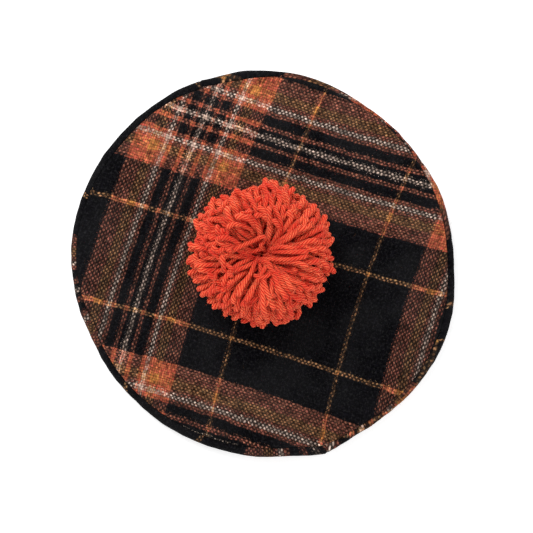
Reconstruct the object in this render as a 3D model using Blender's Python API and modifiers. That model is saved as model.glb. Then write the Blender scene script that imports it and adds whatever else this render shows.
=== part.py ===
"""Pompom beret: a round tartan top panel sewn at the rim to a ring-shaped underside, a headband round the
head opening, and a yarn pompom held in the middle by a tie. It stands on its headband, as it would by itself.
Metres, +Z up, with the origin on the floor below the middle of the hat."""

import bisect
import math

import bmesh
import bpy

# Driving sizes
RIM_RADIUS = 0.1395
RIM_ROLL = 0.0100
RIM_HALF_HEIGHT = 0.0095
RIM_ABOVE_FLOOR = 0.0075
CROWN_RISE = 0.018
SEAT_DIP = 0.002
SEAT_RADIUS = 0.050
SEAM_DIP = 0.0015
SEAM_DIP_WIDTH = 0.004
CLOTH = 0.002
BAND_INNER_RADIUS = 0.088
BAND_THICKNESS = 0.003
BAND_HEIGHT = 0.028
BAND_OVERLAP = 0.006
BEND_RADIUS = 0.003
POMPOM_RADIUS = 0.050
POMPOM_HEIGHT = 0.076
POMPOM_MIDDLE = 0.030
POMPOM_LEAN_X = -0.001
POMPOM_LEAN_Y = 0.0065
LOCK_LENGTH = 0.014
TIE_RADIUS = 0.0025
TIE_DEPTH = 0.024
KNOT_RADIUS = 0.007
KNOT_HEIGHT = 0.003
GAP = 0.00035

# Forms that hold at any size: how level the dome is before it falls away, how softly it meets the rim, how
# flat the pompom's seat is, and how uneven the pompom's locks are
DOME_FLATNESS = 4.0
DOME_EASE = 1.2
SEAT_FLATNESS = 6.0
LOCK_TIP_SHARE = 0.78
LOCK_TIP_CHANGE = 0.08
LOCK_LENGTH_CHANGE = 0.05
LOCK_WAVES = (9.0, 5.0, 8.0, 7.0)

# How finely the pieces are divided
ROUND_STEPS = 48
TOP_RINGS = 11
ROLL_RINGS = 8
PLATE_RINGS = 5
BEND_RINGS = 3
POMPOM_CUTS = 6
SEAT_RINGS = 10
SEAT_STEPS = 24
TIE_STEPS = 16

# The rim as it lies, counter-clockwise from +X. reach is the rim's distance from the middle as a share of
# RIM_RADIUS, seam is how far inside the rim the seam lies as a share of RIM_ROLL, and lift raises the rim by
# a share of RIM_HALF_HEIGHT.
RIM_COLUMNS = ("angle", "reach", "seam", "lift")
RIM_SHARES = (
    (0, 0.996, 0.44, 0.10),
    (20, 0.995, 0.37, 0.20),
    (40, 0.983, 0.18, 0.26),
    (60, 0.985, 0.21, 0.14),
    (80, 1.006, 0.31, -0.08),
    (100, 1.006, 0.60, -0.20),
    (120, 1.004, 0.44, 0.00),
    (140, 0.999, 0.51, 0.16),
    (160, 1.002, 0.39, 0.04),
    (180, 0.997, 0.34, -0.10),
    (200, 0.973, 0.48, 0.06),
    (220, 0.970, 0.45, 0.20),
    (240, 0.980, 0.60, 0.08),
    (260, 0.995, 0.62, -0.06),
    (280, 1.016, 0.67, -0.24),
    (290, 1.036, 0.57, -0.28),
    (300, 1.014, 0.39, -0.04),
    (320, 1.022, 0.44, 0.16),
    (340, 1.026, 0.57, 0.12),
)

CLOTH_COLOUR = (0.035, 0.024, 0.020)
BAND_COLOUR = (0.010, 0.009, 0.011)
YARN_COLOUR = (0.72, 0.085, 0.030)

# Heights that follow from the sizes above
RIM_MIDDLE = RIM_ABOVE_FLOOR + RIM_HALF_HEIGHT
SHOULDER = RIM_MIDDLE + RIM_HALF_HEIGHT
SEAT_HEIGHT = SHOULDER + CROWN_RISE - SEAT_DIP
POMPOM_BASE = SEAT_HEIGHT + GAP
BAND_OUTER_RADIUS = BAND_INNER_RADIUS + BAND_THICKNESS


def clear_scene():
    """Remove whatever the open file holds."""
    for item in list(bpy.data.objects):
        bpy.data.objects.remove(item, do_unlink=True)


def new_collection(name):
    """A collection linked to the scene."""
    collection = bpy.data.collections.new(name)
    bpy.context.scene.collection.children.link(collection)
    return collection


def new_material(name, colour, roughness):
    """A plain Principled material."""
    material = bpy.data.materials.new(name)
    material.use_nodes = True
    shader = material.node_tree.nodes["Principled BSDF"]
    shader.inputs["Base Color"].default_value = (*colour, 1.0)
    shader.inputs["Roughness"].default_value = roughness
    shader.inputs["Metallic"].default_value = 0.0
    material.diffuse_color = (*colour, 1.0)
    return material


def around(angle, column):
    """The value of one column of RIM_SHARES at an angle in radians, on a smooth closed curve through the rows."""
    turn = math.degrees(angle) % 360.0
    place = RIM_COLUMNS.index(column)
    starts = [row[0] for row in RIM_SHARES]
    here = bisect.bisect_right(starts, turn) - 1

    def knot(index):
        laps, row = divmod(index, len(RIM_SHARES))
        return RIM_SHARES[row][0] + 360.0 * laps, RIM_SHARES[row][place]

    before, first, second, after = (knot(here + step) for step in (-1, 0, 1, 2))
    span = second[0] - first[0]
    leave = (second[1] - before[1]) / (second[0] - before[0]) * span
    arrive = (after[1] - first[1]) / (after[0] - first[0]) * span
    t = (turn - first[0]) / span
    return (
        first[1] * (2.0 * t**3 - 3.0 * t**2 + 1.0)
        + leave * (t**3 - 2.0 * t**2 + t)
        + second[1] * (3.0 * t**2 - 2.0 * t**3)
        + arrive * (t**3 - t**2)
    )


def rim_radius(angle):
    """The rim's distance from the middle."""
    return RIM_RADIUS * around(angle, "reach")


def seam_radius(angle):
    """The seam's distance from the middle, seen from above."""
    return rim_radius(angle) - RIM_ROLL * around(angle, "seam")


def crown_height(radius, angle):
    """Height of the crown's outer face, from the middle over the dome and down the rounded rim."""
    flat = rim_radius(angle) - RIM_ROLL
    lift = RIM_HALF_HEIGHT * around(angle, "lift")
    share = min(radius / flat, 1.0)
    dome = (CROWN_RISE - lift) * (1.0 - share**DOME_FLATNESS) ** DOME_EASE
    dip = SEAT_DIP * math.exp(-((radius / SEAT_RADIUS) ** SEAT_FLATNESS))
    over = max(radius - flat, 0.0) / RIM_ROLL
    roll = RIM_HALF_HEIGHT * math.sqrt(max(1.0 - over**2, 0.0))
    return RIM_MIDDLE + lift + roll + dome - dip


def drawn_in(radius, height, angle, distance):
    """A point of the crown's outer face, drawn in along its normal near the seam, where the stitches pull."""
    over = max(radius - rim_radius(angle) + RIM_ROLL, 0.0) / RIM_ROLL
    lean = math.acos(min(over, 1.0))
    side = 1.0 if height > RIM_MIDDLE + RIM_HALF_HEIGHT * around(angle, "lift") else -1.0
    dip = SEAM_DIP * math.exp(-distance / SEAM_DIP_WIDTH)
    return radius - dip * math.cos(lean), height - dip * side * math.sin(lean)


def top_point(share, angle):
    """A point of the top panel's outer face: share runs from 0 at the tie's hole to 1 at the seam."""
    hole = TIE_RADIUS + GAP
    edge = seam_radius(angle) - 0.5 * GAP
    radius = hole + (edge - hole) * (1.0 - (1.0 - share) ** 2)
    return drawn_in(radius, crown_height(radius, angle), angle, edge - radius)


def underside_path(angle):
    """The underside's outer face at one angle as (radius, height) points, from the seam round the rim, under
    the overhang and up round the headband."""
    rim = rim_radius(angle)
    middle = RIM_MIDDLE + RIM_HALF_HEIGHT * around(angle, "lift")
    flat = rim - RIM_ROLL
    start = math.acos((seam_radius(angle) + 0.5 * GAP - flat) / RIM_ROLL)
    points = []
    for step in range(ROLL_RINGS):
        turn = start + (-0.5 * math.pi - start) * step / ROLL_RINGS
        radius = flat + RIM_ROLL * math.cos(turn)
        height = middle + RIM_HALF_HEIGHT * math.sin(turn)
        points.append(drawn_in(radius, height, angle, RIM_ROLL * (start - turn)))
    wrap = BAND_OUTER_RADIUS + GAP + BEND_RADIUS
    lowest = middle - RIM_HALF_HEIGHT
    bend_height = BAND_HEIGHT - BAND_OVERLAP
    slope = 2.0 * (bend_height - BEND_RADIUS - lowest) / (flat - wrap)
    first_turn = math.atan(slope)
    bend_start = (wrap - BEND_RADIUS * math.sin(first_turn), bend_height - BEND_RADIUS * math.cos(first_turn))
    for step in range(PLATE_RINGS):
        share = step / PLATE_RINGS
        radius = flat + (bend_start[0] - flat) * share
        points.append((radius, lowest + (bend_start[1] - lowest) * share**2))
    for step in range(BEND_RINGS + 1):
        turn = first_turn + (0.5 * math.pi - first_turn) * step / BEND_RINGS
        points.append((wrap - BEND_RADIUS * math.sin(turn), bend_height - BEND_RADIUS * math.cos(turn)))
    points.append((wrap - BEND_RADIUS, BAND_HEIGHT))
    return points


def turned(name, profile, steps):
    """A mesh object turned from (radius, height) points that run down its outer side, by a Screw modifier."""
    mesh = bpy.data.meshes.new(name)
    edges = [(index, index + 1) for index in range(len(profile) - 1)]
    mesh.from_pydata([(radius, 0.0, height) for radius, height in profile], edges, [])
    item = bpy.data.objects.new(name, mesh)
    screw = item.modifiers.new("turn", "SCREW")
    screw.steps = steps
    screw.render_steps = steps
    screw.use_merge_vertices = True
    screw.merge_threshold = 0.00005
    return item


def evaluated_mesh(item, name):
    """The object's mesh with its modifiers, as a new mesh; the object is removed."""
    bpy.context.scene.collection.objects.link(item)
    bpy.context.view_layer.update()
    graph = bpy.context.evaluated_depsgraph_get()
    mesh = bpy.data.meshes.new_from_object(item.evaluated_get(graph))
    mesh.name = name
    bpy.data.objects.remove(item, do_unlink=True)
    return mesh


def shaped_blank(name, rings, point):
    """A round cloth blank turned flat, its rings 1, 2, 3 apart, then laid where point(ring, angle) says."""
    blank = turned(name + "_blank", [(1.0 + ring, 0.0) for ring in range(rings)], ROUND_STEPS)
    mesh = evaluated_mesh(blank, name)
    for vertex in mesh.vertices:
        ring = round(math.hypot(vertex.co.x, vertex.co.y)) - 1
        angle = math.atan2(vertex.co.y, vertex.co.x)
        radius, height = point(ring, angle)
        vertex.co = (radius * math.cos(angle), radius * math.sin(angle), height)
    return mesh


def face_outwards(mesh, side):
    """Make an open shell face outwards: its topmost face looks up if side is 1, its lowest down if side is -1."""
    shell = bmesh.new()
    shell.from_mesh(mesh)
    bmesh.ops.recalc_face_normals(shell, faces=shell.faces)
    shell.faces.ensure_lookup_table()
    outermost = max(shell.faces, key=lambda face: side * face.calc_center_median().z)
    if outermost.normal.z * side < 0.0:
        bmesh.ops.reverse_faces(shell, faces=shell.faces)
    shell.to_mesh(mesh)
    shell.free()


def cloth_wall(item, thickness):
    """Give an open surface its thickness on the inner side."""
    solid = item.modifiers.new("thickness", "SOLIDIFY")
    solid.thickness = thickness
    solid.offset = -1.0
    solid.use_even_offset = True


def place(mesh, name, material, collection):
    """Put a mesh in the collection as a named, smooth shaded object."""
    mesh.materials.clear()
    mesh.materials.append(material)
    mesh.shade_smooth()
    mesh.set_sharp_from_angle(angle=math.radians(40.0))
    item = bpy.data.objects.new(name, mesh)
    collection.objects.link(item)
    return item


def make_crown_top(collection):
    """The round top panel, with a hole in the middle for the pompom's tie."""
    mesh = shaped_blank("crown_top", TOP_RINGS, lambda ring, angle: top_point(ring / (TOP_RINGS - 1), angle))
    face_outwards(mesh, 1.0)
    item = place(mesh, "crown_top", new_material("tartan_top", CLOTH_COLOUR, 0.9), collection)
    cloth_wall(item, CLOTH)


def make_crown_underside(collection):
    """The ring of cloth from the seam round the rim to the headband."""
    rings = len(underside_path(0.0))
    mesh = shaped_blank("crown_underside", rings, lambda ring, angle: underside_path(angle)[ring])
    face_outwards(mesh, -1.0)
    item = place(mesh, "crown_underside", new_material("tartan_underside", CLOTH_COLOUR, 0.9), collection)
    cloth_wall(item, CLOTH)


def make_headband(collection):
    """The band round the head opening, standing on the floor."""
    outer = BAND_OUTER_RADIUS
    ring = turned("headband_ring", [(outer, BAND_HEIGHT), (outer, 0.0)], ROUND_STEPS)
    mesh = evaluated_mesh(ring, "headband")
    item = place(mesh, "headband", new_material("band_wool", BAND_COLOUR, 0.95), collection)
    cloth_wall(item, BAND_THICKNESS)


def lock_change(direction, phase):
    """An uneven value from -1 to 1 that depends on where on the ball a lock grows."""
    first, second, third, fourth = LOCK_WAVES
    wave = math.sin(first * direction.x + second * direction.y + phase)
    return wave * math.cos(third * direction.z + fourth * direction.y)


def make_pompom(collection, cutters):
    """The ball of yarn: a core with a lock drawn out of each of its faces, cut flat where it sits on the
    crown and bored for its tie."""
    ball = bmesh.new()
    bmesh.ops.create_cube(ball, size=2.0)
    bmesh.ops.subdivide_edges(ball, edges=ball.edges, cuts=POMPOM_CUTS, use_grid_fill=True)
    reach = POMPOM_RADIUS
    rise = POMPOM_HEIGHT - POMPOM_MIDDLE
    core = (reach - LOCK_LENGTH, reach - LOCK_LENGTH, rise - LOCK_LENGTH)
    full = (reach, reach, rise)
    for vertex in ball.verts:
        vertex.co = [math.tan(0.25 * math.pi * value) for value in vertex.co]
        vertex.co.normalize()
    locks = bmesh.ops.extrude_discrete_faces(ball, faces=ball.faces)["faces"]
    tips = set()
    for face in locks:
        middle = face.calc_center_median().normalized()
        length = 1.0 - LOCK_LENGTH_CHANGE * (1.0 - lock_change(middle, 1.0))
        tip = LOCK_TIP_SHARE + LOCK_TIP_CHANGE * lock_change(middle, 2.0)
        for vertex in face.verts:
            spread = middle + (vertex.co - middle) * tip
            vertex.co = [length * size * value for size, value in zip(full, spread.normalized())]
            tips.add(vertex)
    for vertex in ball.verts:
        if vertex not in tips:
            vertex.co = [size * value for size, value in zip(core, vertex.co)]
    bmesh.ops.recalc_face_normals(ball, faces=ball.faces)
    mesh = bpy.data.meshes.new("pompom")
    ball.to_mesh(mesh)
    ball.free()
    item = place(mesh, "pompom", new_material("pompom_yarn", YARN_COLOUR, 0.85), collection)
    item.location = (POMPOM_LEAN_X, POMPOM_LEAN_Y, POMPOM_BASE + POMPOM_MIDDLE)
    base = seat_cutter("pompom_seat_cutter", cutters)
    bore = cylinder_cutter("pompom_bore_cutter", TIE_RADIUS + GAP, POMPOM_BASE, TIE_DEPTH + GAP, cutters)
    for cutter in (base, bore):
        cut = item.modifiers.new(cutter.name, "BOOLEAN")
        cut.operation = "DIFFERENCE"
        cut.solver = "EXACT"
        cut.object = cutter


def guide_object(mesh, name, cutters):
    """A cutter: shown as wires and left out of the model."""
    cutter = bpy.data.objects.new(name, mesh)
    cutter.hide_render = True
    cutter.display_type = "WIRE"
    cutters.objects.link(cutter)
    return cutter


def seat_cutter(name, cutters):
    """The room that the crown takes below the pompom, raised by the gap between them."""
    wide = POMPOM_RADIUS + LOCK_LENGTH
    profile = []
    for ring in range(SEAT_RINGS + 1):
        radius = wide * ring / SEAT_RINGS
        profile.append((radius, crown_height(radius, 0.0) + GAP))
    profile += [(wide, 0.0), (0.0, 0.0)]
    return guide_object(evaluated_mesh(turned("seat_turned", profile, SEAT_STEPS), name), name, cutters)


def cylinder_cutter(name, radius, base, depth, cutters):
    """An upright cylinder that reaches the given depth above its base, and as far below it."""
    rod = bmesh.new()
    bmesh.ops.create_cone(
        rod, cap_ends=True, segments=TIE_STEPS, radius1=radius, radius2=radius, depth=2.0 * depth
    )
    mesh = bpy.data.meshes.new(name)
    rod.to_mesh(mesh)
    rod.free()
    cutter = guide_object(mesh, name, cutters)
    cutter.location.z = base
    return cutter


def make_pompom_tie(collection):
    """The hidden tie: a stem up into the pompom, with a knot below the top panel."""
    knot_top = SEAT_HEIGHT - CLOTH - GAP
    profile = [
        (0.0, POMPOM_BASE + TIE_DEPTH),
        (TIE_RADIUS, POMPOM_BASE + TIE_DEPTH),
        (TIE_RADIUS, knot_top),
        (KNOT_RADIUS, knot_top),
        (KNOT_RADIUS, knot_top - KNOT_HEIGHT),
        (0.0, knot_top - KNOT_HEIGHT),
    ]
    mesh = evaluated_mesh(turned("tie_turned", profile, TIE_STEPS), "pompom_tie")
    place(mesh, "pompom_tie", new_material("tie_yarn", YARN_COLOUR, 0.85), collection)


def main():
    """Build the beret."""
    clear_scene()
    collection = new_collection("pompom_beret")
    cutters = new_collection("cutters")
    make_crown_top(collection)
    make_crown_underside(collection)
    make_headband(collection)
    make_pompom(collection, cutters)
    make_pompom_tie(collection)


if __name__ == "__main__":
    main()
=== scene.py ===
"""Looks of the pompom beret: a round tartan top panel, its tartan underside, the headband, the pompom with its
tie, and stray wool fibres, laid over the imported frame. Metres, +Z up, origin on the floor below the middle."""

import math

import bpy
import numpy as np
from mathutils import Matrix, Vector


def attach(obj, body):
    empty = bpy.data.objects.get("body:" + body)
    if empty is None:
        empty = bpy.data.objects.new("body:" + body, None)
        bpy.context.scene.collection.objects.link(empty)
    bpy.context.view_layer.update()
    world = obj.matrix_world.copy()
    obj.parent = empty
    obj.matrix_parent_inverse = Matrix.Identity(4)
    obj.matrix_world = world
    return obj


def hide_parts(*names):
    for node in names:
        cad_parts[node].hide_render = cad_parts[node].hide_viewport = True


bl_info = {
    "name": "Pompom Beret",
    "version": (1, 0, 0),
    "blender": (4, 5, 0),
    "location": "View3D > Sidebar > Beret",
    "description": "Makes the pieces of a tartan beret with a yarn pompom",
    "category": "Object",
}

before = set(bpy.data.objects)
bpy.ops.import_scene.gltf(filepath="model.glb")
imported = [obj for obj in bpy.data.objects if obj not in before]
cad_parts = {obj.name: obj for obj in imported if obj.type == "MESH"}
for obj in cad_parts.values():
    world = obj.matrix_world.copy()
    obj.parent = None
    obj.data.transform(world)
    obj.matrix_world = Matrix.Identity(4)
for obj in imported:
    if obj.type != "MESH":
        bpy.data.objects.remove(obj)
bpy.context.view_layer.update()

# The crown's form, as the solids have it
RIM_RADIUS = 0.1395
RIM_ROLL = 0.0100
RIM_HALF_HEIGHT = 0.0095
RIM_MIDDLE = 0.017
CROWN_RISE = 0.018
SEAT_DIP = 0.002
SEAT_RADIUS = 0.050
SEAM_DIP = 0.0015
SEAM_DIP_WIDTH = 0.004
DOME_FLATNESS = 4.0
DOME_EASE = 1.2
SEAT_FLATNESS = 6.0
GAP = 0.00035
BEND_RADIUS = 0.003
SHOULDER = RIM_MIDDLE + RIM_HALF_HEIGHT
SEAT_HEIGHT = SHOULDER + CROWN_RISE - SEAT_DIP
POMPOM_BASE = SEAT_HEIGHT + GAP
POMPOM_CENTRE = np.array([-0.001, 0.0065, POMPOM_BASE + 0.030])

# The rim as it lies, counter-clockwise from +X: its reach as a share of RIM_RADIUS, how far inside it the seam
# lies as a share of RIM_ROLL, and its lift as a share of RIM_HALF_HEIGHT. A program measured reach and seam on
# the photo.
RIM_COLUMNS = ("angle", "reach", "seam", "lift")
RIM_SHARES = (
    (0, 0.996, 0.44, 0.10),
    (20, 0.995, 0.37, 0.20),
    (40, 0.983, 0.18, 0.26),
    (60, 0.985, 0.21, 0.14),
    (80, 1.006, 0.31, -0.08),
    (100, 1.006, 0.60, -0.20),
    (120, 1.004, 0.44, 0.00),
    (140, 0.999, 0.51, 0.16),
    (160, 1.002, 0.39, 0.04),
    (180, 0.997, 0.34, -0.10),
    (200, 0.973, 0.48, 0.06),
    (220, 0.970, 0.45, 0.20),
    (240, 0.980, 0.60, 0.08),
    (260, 0.995, 0.62, -0.06),
    (280, 1.016, 0.67, -0.24),
    (290, 1.036, 0.57, -0.28),
    (300, 1.014, 0.39, -0.04),
    (320, 1.022, 0.44, 0.16),
    (340, 1.026, 0.57, 0.12),
)

# The underside is two half rings, joined at these angles. The rim bulges there, and the bulge fades over the first
# number of degrees before a joint and the second after it. The cloth dips in a groove along a joint.
JOINTS = (109.0, 289.0)
JOINT_BULGE = 0.0010
BULGE_FADES = (3.0, 0.7)
GROOVE_DEPTH = 0.0009
GROOVE_WIDTH = 0.0011

# The grid of the crown: equal steps round it, columns of its own at these degrees from a joint, with no equal step
# closer to them than COLUMN_ROOM, and rows of the top panel, which lie closer towards its edge and start at the
# hole for the tie
CROWN_STEPS = 320
JOINT_COLUMNS = (-1.2, -0.7, -0.3, 0.0, 0.3, 0.7)
COLUMN_ROOM = 0.5
TOP_ROWS = 100
TOP_ROW_EASE = 1.6
HOLE_RADIUS = 0.0025

# Rows of the underside: round the rim, under the overhang, round the bend, and shares of the way up the band
ROLL_ROWS = 36
PLATE_ROWS = 28
BEND_ROWS = 8
UPRIGHT_SHARES = (0.25, 0.5, 0.75, 1.0)

# Uneven waves round the crown: the fewest and the most waves, how many sines, and the seed of their phases.
# Puckers fade with distance from the seam. The underside's slower waves grow over SEAM_HOLD from the seam, and end
# at the first length of BAND_HOLD from the upper edge, after fading over the second.
TOP_PUCKERS = (40, 95, 9, 11)
TOP_PUCKER_FADE = 0.009
TOP_WAVES = (2, 7, 5, 5)
TOP_WAVE_HEIGHT = 0.0007
UNDERSIDE_PUCKERS = (40, 95, 9, 12)
UNDERSIDE_PUCKER_SHARE = 0.8
UNDERSIDE_PUCKER_FADE = 0.006
UNDERSIDE_WAVES = (9, 26, 7, 21)
UNDERSIDE_WAVE_HEIGHT = 0.0006
SEAM_HOLD = 0.02
BAND_HOLD = (0.010, 0.015)

# The camera looks straight down
CAMERA_PLACE = (0.00288, -0.00187, 1.4)
CAMERA_LENS = 128.8
CAMERA_SENSOR = 36.0

# The tartan on the top panel, as the camera sees it. Threads are counted from the middle white stripe, and each
# row holds the factors of x, y, x*x, x*y, y*y, x*x*x, x*x*y, x*y*y and y*y*y, with x and y in lay radii. Programs
# fitted both rows, both middles and the stripes' spacing, which gives both pitches, to the photo's stripes by least
# squares. A lay radius is the rim's radius that they were fitted with, which isn't RIM_RADIUS.
LAY_RADIUS = 0.1375
FIRST_LAY = (1.009, -0.343, 0.014, -0.038, -0.060, -0.038, 0.024, -0.032, 0.004)
SECOND_LAY = (-0.298, -0.974, -0.003, -0.001, -0.008, 0.023, 0.013, -0.032, 0.022)
FIRST_MIDDLE = -0.0801
SECOND_MIDDLE = -0.0891
FIRST_PITCH = 0.001572
SECOND_PITCH = 0.001758

# How much of the way round the rim's roll the top panel's threads take up, eased by the press
TOP_EASE = 0.81

# The tartan on each half of the underside, left and right: the way across its first threads, in degrees from +X,
# then thread numbers at places in millimetres along that way, and along the way square to it. Where the half
# isn't seen, as in its black squares, its threads lie closer or wider. A program fitted the right half's turn,
# pitch and some of its steps to the photo's stripes by least squares.
UNDERSIDE_HALVES = (
    (0.0, ((-160, -115.9), (9.7, -13.6), (39, 0), (70, 15)), ((-160, -84.7), (160, 108.1))),
    (
        -45.0,
        ((-124, -50.5), (-41, -26.5), (48.5, 17), (63, 26.5), (137, 47), (144, 48.9)),
        ((-240, -100), (53.5, 42.5), (73.5, 97.5), (126, 123), (133, 128), (150, 136)),
    ),
)
UNDERSIDE_EASE = 0.85
UNDERSIDE_START = 0.0055

# Each sheet's tartan, with a pair for the two ways of its threads: half the repeat, the thread at which the wide
# band ends, the thread of the thin line, and half the line's width. The top panel's half repeats were fitted with
# its rows above.
TOP_TARTAN = ((74.4, 62.9), (26.0, 24.6), (47.5, 41.9), (0.70, 0.82))
UNDERSIDE_TARTAN = ((80.0, 70.0), (26.5, 24.6), (47.0, 41.9), (0.75, 0.82))

# The tartan's stripes to either side of the middle one: the thread at which each yarn starts. The ramp that holds
# them is RAMP_THREADS long, and stripes within NARROW_THREADS of the middle are partly hidden by the nap.
STRIPES = (
    (0, "white"), (1, "black"), (3, "rust"), (5, "black"), (9, "rust"), (11, "white"), (13, "rust"), (15, "ochre"),
    (19, "rust"),
)
RAMP_THREADS = 40.0
NARROW_THREADS = 5.5
NARROW_SHARE = 0.6

# The cloth's yarns, by the names of their colours
CLOTH_YARNS = ("black", "rust", "ochre", "white", "line")

# How far dark fibres spread over a pale thread of the first and of the second kind, and how much further over a
# narrow stripe, in thread heights
DARK_SPREAD = (1.05, 0.62)
NARROW_SPREAD = 0.28

# Where most of a noise's values lie, widely and closely taken, and the differences in brightness between which one
# way's thread becomes plainly the paler one
WIDE_MIDDLE = (0.25, 0.75)
MIDDLE = (0.3, 0.7)
PALER = (-0.04, 0.04)

# How the tartan's yarns mix: how far a stripe's edge strays in threads, how patchily dark fibres spread, how far a
# thread's lead frays, and the lead at which it hides the other thread. A mix is soft where the yarns differ by less
# than SOFT_DIFFERENCE. The first way's share starts from LEAST_SHARES and grows by FURTHER_SHARE with its lead, and
# both have a part that counts in soft mixes only.
EDGE_STRAY = (-0.85, 0.85)
SPREAD_PATCHES = (0.55, 1.45)
LEAD_FRAY = (-0.45, 0.45)
FULL_LEAD = (-0.8, 0.8)
SOFT_DIFFERENCE = (0.20, 0.34)
LEAST_SHARES = ((0.195, 0.26), (0.01, 0.06))
FURTHER_SHARE = 0.67
SOFT_FURTHER = (-0.27, -0.16)

# Where the two yarns' brightness differs by these amounts, the colour turns a little and greys a little
MIXED_DIFFERENCE = (0.06, 0.12)
HUE_DRIFT = (0.484, 0.516)
MIXED_HUE = 0.006
MIXED_SATURATION = 0.88

# The cloth's brightness: how much a float's own tone varies and its least, then the tones of fibres, the painted
# shade in the hollows between threads, and the tones of slow clouds and of streaks along the threads. The painted
# shade in the hollows and the clouds grow with the difference between the yarns, up to the differences given.
FLOAT_SHADE = (0.84, 0.55)
FIBRE_SHADE = (0.70, 1.26)
CREST_HEIGHTS = (0.35, 0.95)
HOLLOW_DIFFERENCE = 0.10
PAINTED_HOLLOW_SHADE = (0.46, 0.34)
CLOUD_SCALE = 0.21
CLOUD_DIFFERENCE = 0.06
CLOUD_SHADES = ((0.84, 0.60), (1.14, 1.42))
STREAK_STRETCHES = ((1.1, 0.4, 1.0), (0.4, 1.1, 1.0))
STREAK_SHADE = (0.36, 1.60)

# The pale nap that is added to the cloth's colour: fine curled lines, specks and worn places
CURL_SCALE = 0.16
CURL_WIDTH = 0.008
CURL_PALE = 0.005
SPECKS = (0.48, 0.72)
SPECK_PALE = 0.0105
WORN_SCALE = 0.045
WORN_PLACES = (0.35, 0.65)
WORN_PALE = 0.0035

# The pompom's yarn: how many plies it has, over what length they turn once, the noises in its colour, how pale its
# plies are in blotches, and over what length of its hidden end it is darkened with painted shade
PLIES = 5.0
PLY_PITCH = 0.0146
BLOTCH_SCALE = 90.0
FINE_SCALE = 2200.0
BLOTCH_SHADE = (0.36, 1.0)
FINE_SHADE = (0.86, 1.10)
ROOT_SHADE_LENGTH = 0.024

# Strands start at this share of the pompom's radius, about a hub that lies a little off its middle. They keep
# BASE_ROOM yarn radii above the base. Those that would go lower keep only the share PRESSED of what they are lower.
HUB_SHARE = 0.22
HUB_SHIFT = (0.0025, -0.0015, 0.0)
HUB_SPREAD = (0.004, 0.004, 0.002)
BASE_ROOM = 1.3
PRESSED = 0.06
STRAND_KINK = 0.00045
FINE_RINGS = 25
STRAND_SIDES = 6
LAID_SIDES = 8

# Where a strand has its rings, as shares of its length and as distances before its blunt end, and its widths there
STRAND_SHARES = (0.0, 0.22, 0.42, 0.60, 0.76, 0.88)
STRAND_ENDS = (0.0024, 0.0009, 0.00025, 0.0)
STRAND_WIDTHS = np.array([0.70, 0.82, 0.86, 0.90, 0.95, 1.04, 1.14, 1.10, 0.78, 0.36])
WIDTH_CHANGES = (0.90, 1.10)

# Seeds of everything that is drawn by chance
PLY_SEED = 7
POMPOM_SEED = 3
INSIDE_SEED = 8
FIBRE_SEED = 17

# How the long strands spread. Heights are of unit directions, and leans are from upright, in radians. Strands are
# gathered towards fewer locks. They are combed about the angle -COMBED_WAY and tangled opposite it. COMBED holds the
# least combing and how much more there may be, FALLS and REACHES each have a range for tangled strands and one for
# combed strands, and combing calms the bow and the hook by the share CALMED.
LOWEST_TIP = -0.70
LOWEST_LOCK = -0.72
LOCK_SHARE = 0.42
LOCK_UNEVENNESS = 1.6
MOST_GATHERED = 0.45
COMBED_WAY = 0.6
COMBED_TURN = (-0.45, 0.45)
COMBED = (0.35, 0.65)
FALLS = ((0.15, 0.60), (0.76, 0.96))
REACHES = ((0.86, 1.0), (0.92, 1.0))
CALMED = 0.5
SIDE_BOW = 0.55
END_HOOK = 0.10

# Strands that lean less than TOP_LEAN are spread between it and LEAST_LEAN, which is a least value and how much
# combing adds. Between the leans UNDER_LEANS strands come to fall less, by the share UNDER_LOSS.
TOP_LEAN = 1.2
LEAST_LEAN = (0.35, 0.35)
UNDER_LEANS = (1.25, 2.1)
UNDER_LOSS = 0.75

# A parting in the top: the strands fall away from this direction, in degrees, by PARTING_TURN, over PARTING_WIDTH
PARTING = 193.0
PARTING_TURN = 0.30
PARTING_WIDTH = 0.5
PARTING_LEAN = 1.1

# Between these leans the strands' reach passes to a share of the outline, over the sine of the lean, which counts as
# LEAST_LEVEL at least
EDGE_LEANS = (0.9, 1.4)
EDGE_SHARES = (0.91, 0.985)
LEAST_LEVEL = 0.8

# The strands that end in the outline itself: their leans, falls and bow
OUTLINE_LEANS = (1.30, 1.58)
OUTLINE_FALLS = (0.25, 0.75)
OUTLINE_BOW = 0.25

# The short strands inside, with their least lean and the part that is added to it, and the dense core of wool below
# them: its radius as a share of the pompom's, how far above the middle it is cut off, and its rows and columns
INSIDE_LOWEST = -0.68
INSIDE_UNEVENNESS = 1.5
INSIDE_LEAN = (0.7, 0.5)
INSIDE_FALLS = (0.2, 0.7)
INSIDE_REACHES = (0.76, 0.90)
INSIDE_BOW = 1.2
INSIDE_HOOK = 0.15
INSIDE_START = 0.003
CORE_SHARE = 0.62
CORE_TOP = 0.003
CORE_GRID = (22, 40)
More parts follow.
